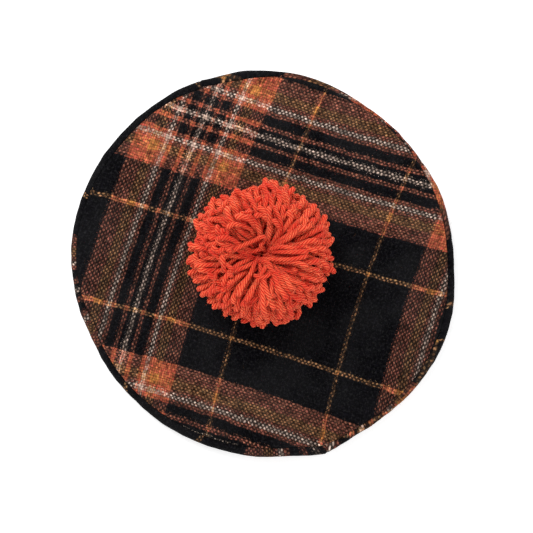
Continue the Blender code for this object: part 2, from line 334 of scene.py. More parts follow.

# Strand ends round the pompom, counter-clockwise from +X: the angle in degrees and how far out in millimetres. A
# program worked them out from places read on the photo.
EDGE_TIPS = (
    (2, 47.4), (9, 48.8), (14, 50.3), (21, 48.8), (26, 50.7), (32, 51.4), (43, 50.5), (50, 47.9), (55, 49.1),
    (63, 50.8), (68, 50.2), (79, 51.2), (82, 51.3), (87, 52.7), (93, 43.0), (98, 46.6), (108, 47.1), (113, 47.4),
    (125, 48.6), (129, 50.0), (135, 50.0), (139, 45.7), (147, 50.2), (151, 50.8), (153, 46.4), (158, 44.9),
    (164, 45.3), (171, 50.0), (177, 49.0), (184, 49.0), (188, 50.7), (194, 51.3), (201, 49.9), (209, 49.7),
    (215, 49.8), (221, 48.2), (227, 49.3), (231, 45.5), (240, 48.9), (246, 47.9), (253, 47.3), (258, 44.8),
    (265, 49.0), (270, 50.1), (276, 46.8), (283, 49.2), (289, 49.6), (298, 50.1), (302, 45.9), (308, 44.8),
    (312, 49.2), (321, 49.1), (325, 46.0), (332, 49.1), (340, 47.2), (345, 51.9), (349, 50.4), (356, 49.3),
)

# Strands that lie across the top: rings, width in yarn radii, how much of their heights counts, how much narrower
# their ends are, and how much they swell at two places along them, over what share of the length
LAID_RINGS = 16
LAID_WIDTH = 0.84
LAID_LIFT = 0.4
LAID_TAPER = 0.4
LAID_SWELL = 0.12
LAID_SWELL_WIDTH = 0.06
LAID_SWELLS = (0.94, 0.06)

# Their places from the pompom's middle in millimetres and their heights above the ball's face, from one end to the
# other
LAID_STRANDS = (
    (
        (-31, -9, -4), (-28, -6, -1), (-21, 1, 0), (-12, 6, 0), (-5, 9, 0), (1, 12, 1), (3, 10, 2), (0, 6, 1),
        (3, 2, -3),
    ),
    ((-35, 3, -1), (-31, 0, 0), (-27, -4, -1), (-22, -8, -4), (-18, -11, -8)),
    ((-27, -12, -5), (-20, -5, -3), (-12, 1, -4), (-5, 2, -4), (3, 5, -6)),
    ((0, -5, -6), (4, -5, -4), (7, -8, -3), (7, -12, -3), (4, -15, -3), (0, -16, -3), (-5, -14, -6)),
    ((6, 6, -7), (11, 11, -3), (14, 17, -2), (13, 24, -1), (9, 31, -3)),
    ((6, 3, -7), (14, 5, -3), (22, 4, -2), (30, 5, -1), (39, 4, -3)),
)

# The ball that the strands make is this share of their rise high. Where its squared height would be a smaller share
# than LEAST_BALL, that share is taken.
BALL_RISE = 0.84
LEAST_BALL = 0.04

# The headband's rounded corners and its grid, and its stitches: how far below its top they start, how far they
# rise, what share of the space between two they slant over, and their widths from end to end
BAND_CORNER = 0.0012
BAND_STEPS = 288
BAND_PROFILE_STEPS = 48
STITCH_DEPTH = 0.0035
STITCH_RISE = 0.0030
STITCH_SLANT = 0.55
STITCH_WIDTHS = (0.6, 1.0, 1.0, 1.0, 1.0, 1.0, 0.6)

# Loose fibres on the pompom, on the top panel and along the rim: their lengths, how far they curl and stray, and
# where they start. The share WARM_SHARE of those on the top panel have the line yarn's colour, darkened.
POMPOM_FIBRES = (0.002, 0.0055)
POMPOM_FIBRE_ROOTS = (0.86, 0.99)
POMPOM_FIBRE_LOWEST = -0.55
POMPOM_FIBRE_STRAY = 0.75
CLOTH_FIBRES = (0.003, 0.010)
CLOTH_FIBRE_SPREAD = (0.15, 1.0)
CLOTH_FIBRE_EDGE = 0.97
CLOTH_FIBRE_RISE = (0.02, 0.30)
CLOTH_FIBRE_CURL = 0.5
WARM_SHARE = 0.35
WARM_SHADE = 0.45
RIM_FIBRES = (0.001, 0.003)
RIM_FIBRE_LEANS = (-0.5, 0.7)
RIM_FIBRE_STRAY = 0.6
FIBRE_CURL = 0.6

# The lights: name, place, width and power as a share of the key light's, all turned to the hat's middle
LIGHTS = (("key_light", (-0.55, 0.75, 1.25), 0.8, 1.0), ("fill_light", (0.9, -0.5, 1.1), 1.2, 0.35))
LIT_PLACE = (0.0, 0.0, 0.05)
FLOOR_REACH = 4.0
FLOOR_STEPS = 8
FLOOR_GLOW = 0.40


def colour_property(name, description, default):
    """A linear colour that the sidebar shows."""
    return bpy.props.FloatVectorProperty(
        name=name, description=description, default=default, size=3, min=0.0, max=1.0, subtype="COLOR"
    )


def length_property(name, description, default):
    """A length in metres that the sidebar shows."""
    return bpy.props.FloatProperty(
        name=name, description=description, default=default, min=0.0, precision=5, unit="LENGTH"
    )


def count_property(name, description, default):
    """A number of things that the sidebar shows."""
    return bpy.props.IntProperty(name=name, description=description, default=default, min=0)


class BeretClothProperties(bpy.types.PropertyGroup):
    """Sizes and yarn colours of the cloth."""

    thickness: length_property("Cloth Thickness", "Thickness of the woven cloth", 0.002)
    pucker: length_property("Seam Pucker", "How far the seam's puckers rise and fall", 0.0005)
    black: colour_property("Black Yarn", "Ground yarn", (0.0022, 0.0019, 0.0030))
    rust: colour_property("Rust Yarn", "Yarn of the narrow lines and the bands' edges", (0.36, 0.080, 0.039))
    ochre: colour_property("Ochre Yarn", "Yarn of the bands' middles", (0.385, 0.138, 0.036))
    white: colour_property("White Yarn", "Yarn of the three white lines", (0.56, 0.385, 0.305))
    line: colour_property("Line Yarn", "Yarn of the thin line across the black squares", (0.42, 0.170, 0.050))


class BeretBandProperties(bpy.types.PropertyGroup):
    """Sizes and colour of the headband."""

    radius: length_property("Inner Radius", "Inner radius of the headband", 0.088)
    thickness: length_property("Thickness", "Thickness of the headband", 0.003)
    height: length_property("Height", "Height of the headband", 0.028)
    overlap: length_property("Overlap", "How far the underside turns up round the band", 0.006)
    colour: colour_property("Colour", "Dark wool of the headband", (0.010, 0.009, 0.011))
    stitches: count_property("Stitches", "Number of stitches round the band", 132)
    stitch_radius: length_property("Stitch Radius", "Radius of the sewing thread", 0.00035)


class BeretPompomProperties(bpy.types.PropertyGroup):
    """Sizes and colours of the pompom."""

    radius: length_property("Radius", "Reach of the strands to the sides", 0.0495)
    rise: length_property("Rise", "Reach of the strands upwards from the middle", 0.0535)
    yarn: length_property("Yarn Radius", "Radius of one strand of yarn", 0.00185)
    strands: count_property("Strands", "Number of strands", 390)
    # Painted light and shade: the yarn's colour on its plies' crests, and painted shade in the grooves between them
    lit: colour_property("Yarn Crest", "Yarn where the light meets its plies", (0.93, 0.152, 0.063))
    painted_groove_shade: colour_property("Yarn Groove", "Yarn in the grooves between its plies", (0.60, 0.013, 0.010))


class BeretTieProperties(bpy.types.PropertyGroup):
    """Sizes of the pompom's tie."""

    radius: length_property("Stem Radius", "Radius of the stem of two yarns", 0.0025)
    depth_below: length_property("Depth Below", "How far the knot's top lies below the seat", 0.0023)
    depth_above: length_property("Depth Above", "How far the stem reaches into the pompom", 0.0240)
    knot_radius: length_property("Knot Radius", "Reach of the knot", 0.0070)
    knot_height: length_property("Knot Height", "Height of the knot", 0.0030)
    yarn: length_property("Yarn Radius", "Radius of the knotted yarn", 0.0012)


class BeretFibreProperties(bpy.types.PropertyGroup):
    """Numbers and size of the loose fibres."""

    radius: length_property("Fibre Radius", "Radius of a loose fibre", 0.00005)
    on_pompom: count_property("On Pompom", "Number of fibres on the pompom", 350)
    on_cloth: count_property("On Cloth", "Number of fibres on the top panel", 220)
    on_rim: count_property("On Rim", "Number of fibres along the rim", 900)
    dark: colour_property("Dark Fibre", "Loose fibre of the black ground", (0.030, 0.026, 0.028))


class BeretStageProperties(bpy.types.PropertyGroup):
    """Floor and light."""

    floor: colour_property("Floor", "Pale floor", (0.90, 0.90, 0.90))
    key: bpy.props.FloatProperty(
        name="Key Light", description="Power of the large soft light", default=16.0, min=0.0, unit="POWER"
    )
    sky: bpy.props.FloatProperty(
        name="Room Light", description="Strength of the even white light all round", default=0.72, min=0.0
    )


def cubic(first, second, leave, arrive, t):
    """A cubic from first to second as t goes from 0 to 1, with the slopes leave and arrive at its ends."""
    return (
        first * (2.0 * t**3 - 3.0 * t**2 + 1.0)
        + leave * (t**3 - 2.0 * t**2 + t)
        + second * (3.0 * t**2 - 2.0 * t**3)
        + arrive * (t**3 - t**2)
    )


def unit(vectors):
    """Vectors scaled to a length of one."""
    return vectors / np.linalg.norm(vectors, axis=-1, keepdims=True)


def lengths_along(paths):
    """The length of each path from its start to each of its places."""
    steps = np.linalg.norm(np.diff(paths, axis=1), axis=-1)
    return np.concatenate([np.zeros((len(paths), 1)), np.cumsum(steps, axis=1)], axis=1)


def ranged_array(values, low, high):
    """Values carried to 0 to 1 and eased at both ends."""
    share = np.clip((values - low) / (high - low), 0.0, 1.0)
    return share**2 * (3.0 - 2.0 * share)


def turn_from(start, end):
    """The degrees from one angle to another, from -180 to 180."""
    return (end - start + 180.0) % 360.0 - 180.0


def around(angle, column):
    """One column of RIM_SHARES at angles in radians: a cubic between neighbouring rows, whose slope at a row is
    that of the chord through the rows before and after it."""
    rows = np.array(RIM_SHARES, float)
    turn = np.degrees(angle) % 360.0
    values = rows[:, RIM_COLUMNS.index(column)]
    starts = np.concatenate([rows[-2:, 0] - 360.0, rows[:, 0], rows[:2, 0] + 360.0])
    values = np.concatenate([values[-2:], values, values[:2]])
    here = np.searchsorted(starts, turn, side="right") - 1
    span = starts[here + 1] - starts[here]
    leave = (values[here + 1] - values[here - 1]) / (starts[here + 1] - starts[here - 1]) * span
    arrive = (values[here + 2] - values[here]) / (starts[here + 2] - starts[here]) * span
    return cubic(values[here], values[here + 1], leave, arrive, (turn - starts[here]) / span)


def rim_radius(angle):
    """The rim's distance from the middle, with a bulge that grows towards each joint and ends just past it."""
    slow, fast = BULGE_FADES
    bulge = 0.0
    for joint in JOINTS:
        before = turn_from(np.degrees(angle), joint)
        bulge = bulge + np.where(before > 0.0, np.exp(-np.abs(before) / slow), np.exp(-((before / fast) ** 2)))
    return RIM_RADIUS * around(angle, "reach") + JOINT_BULGE * bulge


def seam_radius(angle):
    """The seam's distance from the middle, seen from above."""
    return rim_radius(angle) - RIM_ROLL * around(angle, "seam")


def rim_middle(angle):
    """Height of the rolled rim's middle."""
    return RIM_MIDDLE + RIM_HALF_HEIGHT * around(angle, "lift")


def crown_height(radius, angle):
    """Height of the crown's outer face: a dome that falls as one less the fourth power of the radius, on a rim
    whose section is an ellipse, less a shallow dip under the pompom."""
    flat = rim_radius(angle) - RIM_ROLL
    middle = rim_middle(angle)
    share = np.minimum(radius / flat, 1.0)
    dome = (CROWN_RISE - (middle - RIM_MIDDLE)) * (1.0 - share**DOME_FLATNESS) ** DOME_EASE
    dip = SEAT_DIP * np.exp(-((radius / SEAT_RADIUS) ** SEAT_FLATNESS))
    over = np.maximum(radius - flat, 0.0) / RIM_ROLL
    return middle + RIM_HALF_HEIGHT * np.sqrt(np.maximum(1.0 - over**2, 0.0)) + dome - dip


def ripples(angle, low, high, count, seed):
    """An uneven wave round the circle, about -1 to 1: sines of whole numbers of waves between low and high,
    with seeded phases."""
    chance = np.random.default_rng(seed)
    waves = chance.integers(low, high + 1, count)
    phases = chance.uniform(0.0, 2.0 * math.pi, count)
    total = np.zeros_like(angle)
    for wave, phase in zip(waves, phases):
        total = total + np.sin(wave * angle + phase)
    return total / math.sqrt(count)


def drawn_in(radius, height, angle, distance):
    """The outer face drawn in along its normal near the seam, by a depth that fades with distance from it."""
    over = np.clip((radius - rim_radius(angle) + RIM_ROLL) / RIM_ROLL, 0.0, 1.0)
    lean = np.arccos(over)
    side = np.where(height > rim_middle(angle), 1.0, -1.0)
    dip = SEAM_DIP * np.exp(-distance / SEAM_DIP_WIDTH)
    return radius - dip * np.cos(lean), height - dip * side * np.sin(lean)


def round_angles(steps):
    """Equal steps round the circle, without the last, which is the first again."""
    return np.arange(steps) * (2.0 * math.pi / steps)


def crown_angles():
    """Equal steps round the circle with closer ones about each joint."""
    near = np.add.outer(JOINTS, JOINT_COLUMNS).ravel()
    far = np.degrees(round_angles(CROWN_STEPS))
    apart = np.abs(far[:, None] - near[None, :]).min(axis=1)
    return np.radians(np.sort(np.concatenate([far[apart > COLUMN_ROOM], near])))


def polar(radius, angle, height):
    """Points from radius, angle and height."""
    return np.stack([radius * np.cos(angle), radius * np.sin(angle), height * np.ones_like(radius)], axis=-1)


def directions(lean, turn):
    """Unit vectors that lean from upright towards a turn."""
    return polar(np.sin(lean), turn, np.cos(lean))


def grid_quads(rows, columns):
    """Corner numbers of the faces between neighbouring rows and columns of a grid whose columns close round."""
    row, column = np.meshgrid(np.arange(rows - 1), np.arange(columns), indexing="ij")
    after = (column + 1) % columns
    here, next_row = row * columns, (row + 1) * columns
    return np.stack([here + column, here + after, next_row + after, next_row + column], axis=-1).reshape(-1, 4)


def mesh_object(name, points, faces, maps=()):
    """A smooth shaded object of points and faces; maps holds (name, one pair of numbers for each corner)."""
    mesh = bpy.data.meshes.new(name)
    mesh.from_pydata(points.reshape(-1, 3).tolist(), [], [list(face) for face in faces])
    for label, places in maps:
        layer = mesh.uv_layers.new(name=label)
        layer.data.foreach_set("uv", np.asarray(places, np.float32).ravel())
    mesh.shade_smooth()
    mesh.validate()
    item = bpy.data.objects.new(name, mesh)
    bpy.context.scene.collection.objects.link(item)
    return item


def tubes(name, centres, radii, sides):
    """Tubes carried along many paths at once: centres holds paths x rings x 3, radii paths x rings. A ring is
    centre + radius * (cos a * across + sin a * up), with across square to the path's bend, so it doesn't turn. On
    an almost straight path it is square to Z, or to X where the path is steep. The map yarn holds the turn round
    the tube and the length along it in metres."""
    paths, rings = radii.shape
    ahead = unit(np.gradient(centres, axis=1))
    across = np.cross(ahead[:, 0], ahead[:, -1])
    bent = np.linalg.norm(across, axis=-1, keepdims=True) > 0.05
    level = np.abs(ahead[:, :1, 2]) < 0.9
    across = np.where(bent, across, np.cross(ahead[:, 0], np.where(level, [[0.0, 0.0, 1.0]], [[1.0, 0.0, 0.0]])))
    across = unit(across[:, None, :] - ahead * np.sum(ahead * across[:, None, :], axis=-1, keepdims=True))
    up = np.cross(ahead, across)
    angle = round_angles(sides)
    offsets = np.cos(angle)[:, None] * across[:, :, None, :] + np.sin(angle)[:, None] * up[:, :, None, :]
    points = centres[:, :, None, :] + radii[:, :, None, None] * offsets
    along = lengths_along(centres)
    quads = (np.arange(paths)[:, None, None] * rings * sides + grid_quads(rings, sides)).reshape(-1, 4)
    row, column = np.meshgrid(np.arange(rings - 1), np.arange(sides), indexing="ij")
    turn = np.stack([column, column + 1, column + 1, column], axis=-1).reshape(-1, 4) / sides
    step = np.stack([row, row, row + 1, row + 1], axis=-1).reshape(-1, 4)
    start = np.random.default_rng(PLY_SEED).uniform(0.0, 1.0, (paths, 1, 1))
    wraps = np.stack([np.broadcast_to(turn, (paths, *turn.shape)) + start, along[:, step]], axis=-1)
    first = np.arange(paths)[:, None] * rings * sides
    starts = first + np.arange(sides)[::-1]
    ends = first + (rings - 1) * sides + np.arange(sides)
    caps = np.concatenate([starts, ends])
    cap_turn = np.broadcast_to(np.arange(sides) / sides, caps.shape)
    cap_along = np.concatenate([along[:, :1], along[:, -1:]]) * np.ones(sides)
    corner_places = np.concatenate([wraps.reshape(-1, 2), np.stack([cap_turn, cap_along], axis=-1).reshape(-1, 2)])
    faces = quads.tolist() + caps.tolist()
    return mesh_object(name, points, faces, [("yarn", corner_places)])


def per_corner(values, faces):
    """Values of the points as values of the faces' corners."""
    return values.reshape(-1, values.shape[-1])[np.asarray(faces).ravel()]


def feed(tree, socket, value):
    """Link an output to a socket, or set the socket's own value."""
    if isinstance(value, bpy.types.NodeSocket):
        tree.links.new(value, socket)
    else:
        socket.default_value = value


def add_node(tree, kind, inputs=None, **settings):
    """A node of a kind, with its settings and its named inputs fed."""
    made = tree.nodes.new(kind)
    place = len(tree.nodes)
    made.location = (180.0 * (place % 10), -260.0 * (place // 10))
    for label, setting in settings.items():
        setattr(made, label, setting)
    for label, value in (inputs or {}).items():
        feed(tree, made.inputs[label], value)
    return made


def sums(tree, operation, *values, clamp=False):
    """The result of one Math node."""
    made = add_node(tree, "ShaderNodeMath", dict(enumerate(values)), operation=operation, use_clamp=clamp)
    return made.outputs[0]


def blended(tree, factor, first, second, how="MIX"):
    """Two colours mixed by a factor."""
    made = add_node(tree, "ShaderNodeMix", {0: factor, 6: first, 7: second}, data_type="RGBA", blend_type=how)
    return made.outputs[2]


def ranged(tree, value, low, high, to_low=0.0, to_high=1.0):
    """A value carried from one range to another and clamped."""
    made = add_node(
        tree, "ShaderNodeMapRange", {0: value, 1: low, 2: high, 3: to_low, 4: to_high}, interpolation_type="SMOOTHSTEP"
    )
    return made.outputs[0]


def noise(tree, place, scale, detail=2.0, roughness=0.5, distortion=0.0):
    """The value of a noise texture."""
    inputs = {"Vector": place, "Scale": scale, "Detail": detail, "Roughness": roughness, "Distortion": distortion}
    return add_node(tree, "ShaderNodeTexNoise", inputs).outputs[0]


def chance_of(tree, place):
    """A random value from 0 to 1 for each whole place."""
    return add_node(tree, "ShaderNodeTexWhiteNoise", {"Vector": place}, noise_dimensions="3D").outputs[0]


def grey(tree, value):
    """A grey of a value."""
    return add_node(tree, "ShaderNodeCombineColor", {0: value, 1: value, 2: value}).outputs[0]


def stretched(tree, place, factors):
    """A place with its coordinates multiplied by factors."""
    return add_node(tree, "ShaderNodeVectorMath", {0: place, 1: factors}, operation="MULTIPLY").outputs[0]


def object_place(tree):
    """The place on the piece."""
    return add_node(tree, "ShaderNodeTexCoord").outputs["Object"]


def raise_surface(tree, shader, height, strength, distance):
    """Bump the shader's surface by a height."""
    bump = add_node(tree, "ShaderNodeBump", {"Height": height, "Strength": strength, "Distance": distance})
    feed(tree, shader.inputs["Normal"], bump.outputs[0])


def new_group(name, inputs, outputs):
    """A shader node group with named sockets, once: (tree, its inputs, its outputs)."""
    tree = bpy.data.node_groups.new(name, "ShaderNodeTree")
    for label, kind, value in inputs:
        socket = tree.interface.new_socket(label, in_out="INPUT", socket_type="NodeSocket" + kind)
        if value is not None:
            socket.default_value = value
    for label, kind in outputs:
        tree.interface.new_socket(label, in_out="OUTPUT", socket_type="NodeSocket" + kind)
    return tree, add_node(tree, "NodeGroupInput").outputs, add_node(tree, "NodeGroupOutput").inputs


def stripes_group():
    """The tartan's yarn colour at a thread number: the stripes up to the band's edge, then black with a thin line.
    The order is mirrored at thread 0 and at half the repeat. Narrow is how far the black nap hides a narrow
    stripe."""
    if "tartan_stripes" in bpy.data.node_groups:
        return bpy.data.node_groups["tartan_stripes"]
    tree, given, out = new_group(
        "tartan_stripes",
        [
            ("Thread", "Float", 0.0),
            ("Half Repeat", "Float", 72.5),
            ("Band Edge", "Float", 26.0),
            ("Thin Line", "Float", 47.0),
            ("Line Half Width", "Float", 0.95),
            ("Black", "Color", None),
            ("Rust", "Color", None),
            ("Ochre", "Color", None),
            ("White", "Color", None),
            ("Line", "Color", None),
        ],
        [("Color", "Color"), ("Narrow", "Float")],
    )
    thread = sums(tree, "PINGPONG", given["Thread"], given["Half Repeat"])
    ramp = add_node(tree, "ShaderNodeValToRGB", {0: sums(tree, "DIVIDE", thread, RAMP_THREADS)})
    ramp.color_ramp.interpolation = "CONSTANT"
    marks = {"white": (1, 0, 0, 1), "rust": (0, 1, 0, 1), "ochre": (0, 0, 1, 1), "black": (0, 0, 0, 1)}
    elements = ramp.color_ramp.elements
    elements.remove(elements[1])
    elements[0].color = marks[STRIPES[0][1]]
    for start, yarn in STRIPES[1:]:
        elements.new(start / RAMP_THREADS).color = marks[yarn]
    parts = add_node(tree, "ShaderNodeSeparateColor", {0: ramp.outputs[0]}).outputs
    inside = sums(tree, "LESS_THAN", thread, given["Band Edge"])
    off_line = sums(tree, "ABSOLUTE", sums(tree, "SUBTRACT", thread, given["Thin Line"]))
    colour = blended(tree, sums(tree, "MULTIPLY", parts[1], inside), given["Black"], given["Rust"])
    colour = blended(tree, parts[2], colour, given["Ochre"])
    colour = blended(tree, parts[0], colour, given["White"])
    on_line = sums(tree, "LESS_THAN", off_line, given["Line Half Width"])
    feed(tree, out["Color"], blended(tree, on_line, colour, given["Line"]))
    near_middle = sums(tree, "MULTIPLY", NARROW_SHARE, sums(tree, "LESS_THAN", thread, NARROW_THREADS))
    feed(tree, out["Narrow"], sums(tree, "MAXIMUM", on_line, near_middle))
    return tree


def weave_group():
    """Plain weave of round threads. A thread of the first kind stands at cos(pi * second) * swing above the
    cloth, one of the second kind at the opposite, and each adds its own round section; the higher one shows."""
    if "plain_weave" in bpy.data.node_groups:
        return bpy.data.node_groups["plain_weave"]
    tree, given, out = new_group(
        "plain_weave",
        [("Threads", "Vector", None), ("Swing", "Float", 0.8), ("Width", "Float", 0.96), ("Wander", "Float", 0.55)],
        [
            ("First Thread", "Float"),
            ("Second Thread", "Float"),
            ("Lead", "Float"),
            ("Height", "Float"),
            ("Float Shade", "Float"),
            ("Fibre", "Float"),
        ],
    )
    places = add_node(tree, "ShaderNodeSeparateXYZ", {0: given["Threads"]}).outputs
    drift_inputs = {"Vector": given["Threads"], "Scale": 0.16, "Detail": 4.0, "Roughness": 0.7}
    drift = add_node(tree, "ShaderNodeTexNoise", drift_inputs)
    drifts = add_node(tree, "ShaderNodeSeparateColor", {0: drift.outputs[1]}).outputs
    found = []
    for place, push in zip(places[:2], drifts[:2]):
        shift = sums(tree, "MULTIPLY", sums(tree, "SUBTRACT", push, 0.5), given["Wander"])
        moved = sums(tree, "MULTIPLY_ADD", shift, 4.0, place)
        found.append((moved, sums(tree, "FLOOR", moved), sums(tree, "FRACT", moved)))
    (_, first, first_part), (_, second, second_part) = found
    odd = sums(tree, "PINGPONG", sums(tree, "ADD", first, second), 1.0)
    turn = sums(tree, "SUBTRACT", 1.0, sums(tree, "MULTIPLY", odd, 2.0))
    swing = sums(tree, "MULTIPLY", turn, given["Swing"])

    def section(part):
        """Height of a round thread across its width."""
        off = sums(tree, "DIVIDE", sums(tree, "SUBTRACT", part, 0.5), sums(tree, "MULTIPLY", given["Width"], 0.5))
        left = sums(tree, "SUBTRACT", 1.0, sums(tree, "POWER", off, 2.0))
        return sums(tree, "SQRT", sums(tree, "MAXIMUM", left, 0.0))

    def rise(part, amount):
        """Height of a thread along its length as it passes over and under."""
        wave = sums(tree, "COSINE", sums(tree, "MULTIPLY", sums(tree, "SUBTRACT", part, 0.5), math.pi))
        return sums(tree, "MULTIPLY", wave, amount)

    first_height = sums(tree, "ADD", section(first_part), rise(second_part, swing))
    second_height = sums(tree, "SUBTRACT", section(second_part), rise(first_part, swing))
    on_top = sums(tree, "GREATER_THAN", first_height, second_height)
    highest = sums(tree, "MAXIMUM", first_height, second_height)
    height = sums(tree, "DIVIDE", highest, sums(tree, "ADD", given["Swing"], 1.0), clamp=True)
    spot = add_node(tree, "ShaderNodeCombineXYZ", {0: first, 1: second, 2: on_top}).outputs[0]
    grain = stretched(tree, given["Threads"], (3.0, 3.0, 3.0))
    feed(tree, out["First Thread"], sums(tree, "ADD", first, 0.5))
    feed(tree, out["Second Thread"], sums(tree, "ADD", second, 0.5))
    feed(tree, out["Lead"], sums(tree, "SUBTRACT", first_height, second_height))
    feed(tree, out["Height"], height)
    feed(tree, out["Float Shade"], chance_of(tree, spot))
    feed(tree, out["Fibre"], noise(tree, grain, 1.0, 3.0, 0.65))
    return tree


def add_group(tree, group, inputs):
    """A node that holds a group, with its named inputs fed."""
    made = add_node(tree, "ShaderNodeGroup", node_tree=group)
    for label, value in inputs.items():
        feed(tree, made.inputs[label], value)
    return made.outputs


def new_material(name, roughness, sheen=0.0, sheen_roughness=0.5, specular=0.2):
    """A material with a Principled shader: (material, tree, shader)."""
    material = bpy.data.materials.new(name)
    material.use_nodes = True
    tree = material.node_tree
    shader = tree.nodes["Principled BSDF"]
    shader.inputs["Roughness"].default_value = roughness
    shader.inputs["Sheen Weight"].default_value = sheen
    shader.inputs["Sheen Roughness"].default_value = sheen_roughness
    shader.inputs["Specular IOR Level"].default_value = specular
    return material, tree, shader


def whole_colour(colour):
    """A colour with its alpha."""
    return (*colour, 1.0)


def cloth_tone_and_painted_shade(tree, threads, weave, paler, uneven):
    """The cloth's brightness from place to place: the product of the floats' own tones, fibres, painted shade in the
    hollows between threads, streaks along the paler way's threads, and slow clouds."""
    shade = sums(tree, "MULTIPLY_ADD", weave["Float Shade"], *FLOAT_SHADE)
    clouds = noise(tree, threads, CLOUD_SCALE, 3.0, 0.6)
    cloud_ends = [ranged(tree, uneven, 0.0, CLOUD_DIFFERENCE, *ends) for ends in CLOUD_SHADES]
    cloud = ranged(tree, clouds, *MIDDLE, *cloud_ends)
    fibre = ranged(tree, weave["Fibre"], *WIDE_MIDDLE, *FIBRE_SHADE)
    # Painted shade: darker where the weave lies low, in the hollows between threads, more so where the yarns differ
    deepest_painted_shade = ranged(tree, uneven, 0.0, HOLLOW_DIFFERENCE, *PAINTED_HOLLOW_SHADE)
    painted_shade_in_hollows = ranged(tree, weave["Height"], *CREST_HEIGHTS, deepest_painted_shade, 1.0)
    streaks = []
    for stretch in STREAK_STRETCHES:
        along = noise(tree, stretched(tree, threads, stretch), 1.0, 2.0)
        streaks.append(ranged(tree, along, *WIDE_MIDDLE, *STREAK_SHADE))
    streak = ranged(tree, paler, *PALER, streaks[1], streaks[0])
    light = sums(tree, "MULTIPLY", sums(tree, "MULTIPLY", shade, fibre), sums(tree, "MULTIPLY", painted_shade_in_hollows, streak))
    return sums(tree, "MULTIPLY", light, cloud)


def cloth_nap(tree, threads, grain):
    """The pale nap on the cloth: the sum of fine curled lines, where a bent noise passes its middle value, of specks
    and of worn places."""
    curl = noise(tree, threads, CURL_SCALE, 2.0, 0.5, 1.2)
    off_curl = sums(tree, "ABSOLUTE", sums(tree, "SUBTRACT", curl, 0.5))
    worn = ranged(tree, noise(tree, threads, WORN_SCALE, 2.0), *WORN_PLACES, 0.0, WORN_PALE)
    curls = ranged(tree, off_curl, 0.0, CURL_WIDTH, CURL_PALE, 0.0)
    specks = ranged(tree, grain, *SPECKS, 0.0, SPECK_PALE)
    return sums(tree, "ADD", sums(tree, "ADD", curls, specks), worn)


def tartan_material(name, half_repeats, edges, lines, line_widths):
    """Woven wool in the tartan. The map threads holds both thread numbers, and each pair is for the two ways. Dark
    fibres spread over a pale thread beside them, unevenly, so it shows less than half there."""
    cloth = bpy.context.scene.beret_cloth
    material, tree, shader = new_material(name, 0.92, sheen=0.008, specular=0.03)
    threads = add_node(tree, "ShaderNodeUVMap", uv_map="threads").outputs[0]
    weave = add_group(tree, weave_group(), {"Threads": threads})
    yarns = {label.capitalize(): whole_colour(getattr(cloth, label)) for label in CLOTH_YARNS}
    grain = noise(tree, threads, 0.9, 3.0, 0.75)
    ways, shines, hidden, narrow = [], [], [], []
    for index, (label, stray) in enumerate((("First Thread", weave["Fibre"]), ("Second Thread", grain))):
        place = sums(tree, "ADD", weave[label], ranged(tree, stray, *WIDE_MIDDLE, *EDGE_STRAY))
        inputs = {"Thread": place, "Half Repeat": half_repeats[index], "Band Edge": edges[index]}
        inputs |= {"Thin Line": lines[index], "Line Half Width": line_widths[index]}
        stripes = add_group(tree, stripes_group(), inputs | yarns)
        ways.append(stripes["Color"])
        shines.append(add_node(tree, "ShaderNodeRGBToBW", {0: ways[-1]}).outputs[0])
        hidden.append(sums(tree, "MULTIPLY_ADD", stripes["Narrow"], NARROW_SPREAD, DARK_SPREAD[index]))
        narrow.append(stripes["Narrow"])
    paler = sums(tree, "SUBTRACT", shines[0], shines[1])
    patchy = ranged(tree, weave["Float Shade"], 0.0, 1.0, *SPREAD_PATCHES)
    spread = ranged(tree, paler, *PALER, sums(tree, "MULTIPLY", hidden[1], -1.0), hidden[0])
    shift = sums(tree, "MULTIPLY", spread, patchy)
    frayed = ranged(tree, weave["Fibre"], *WIDE_MIDDLE, *LEAD_FRAY)
    lead = sums(tree, "ADD", sums(tree, "SUBTRACT", weave["Lead"], shift), frayed)
    uneven = sums(tree, "ABSOLUTE", paler)
    wide = sums(tree, "SUBTRACT", 1.0, sums(tree, "MAXIMUM", narrow[0], narrow[1]))
    soft = sums(tree, "MULTIPLY", ranged(tree, uneven, *SOFT_DIFFERENCE, 1.0, 0.0), wide)
    least_ends = [sums(tree, "MULTIPLY_ADD", soft, more, low) for more, low in LEAST_SHARES]
    least = ranged(tree, paler, *PALER, *least_ends)
    strength = sums(tree, "MULTIPLY_ADD", soft, ranged(tree, paler, *PALER, *SOFT_FURTHER), FURTHER_SHARE)
    share = sums(tree, "MULTIPLY_ADD", ranged(tree, lead, *FULL_LEAD), strength, least)
    colour = blended(tree, share, ways[1], ways[0])
    drift = ranged(tree, grain, *MIDDLE, *HUE_DRIFT)
    turned = sums(tree, "ADD", drift, ranged(tree, uneven, *MIXED_DIFFERENCE, 0.0, MIXED_HUE))
    greyer = ranged(tree, uneven, *MIXED_DIFFERENCE, 1.0, MIXED_SATURATION)
    hue = add_node(tree, "ShaderNodeHueSaturation", {"Hue": turned, "Saturation": greyer, "Color": colour})
    # The floats' tones times the painted shade in the hollows between threads, multiplied into the cloth's colour
    light = grey(tree, cloth_tone_and_painted_shade(tree, threads, weave, paler, uneven))
    cloth_colour = blended(tree, 1.0, hue.outputs[0], light, "MULTIPLY")
    nap = grey(tree, cloth_nap(tree, threads, grain))
    feed(tree, shader.inputs["Base Color"], blended(tree, 1.0, cloth_colour, nap, "ADD"))
    height = sums(tree, "ADD", weave["Height"], sums(tree, "MULTIPLY", weave["Fibre"], 0.3))
    raise_surface(tree, shader, height, 0.45, 0.0005)
    return material


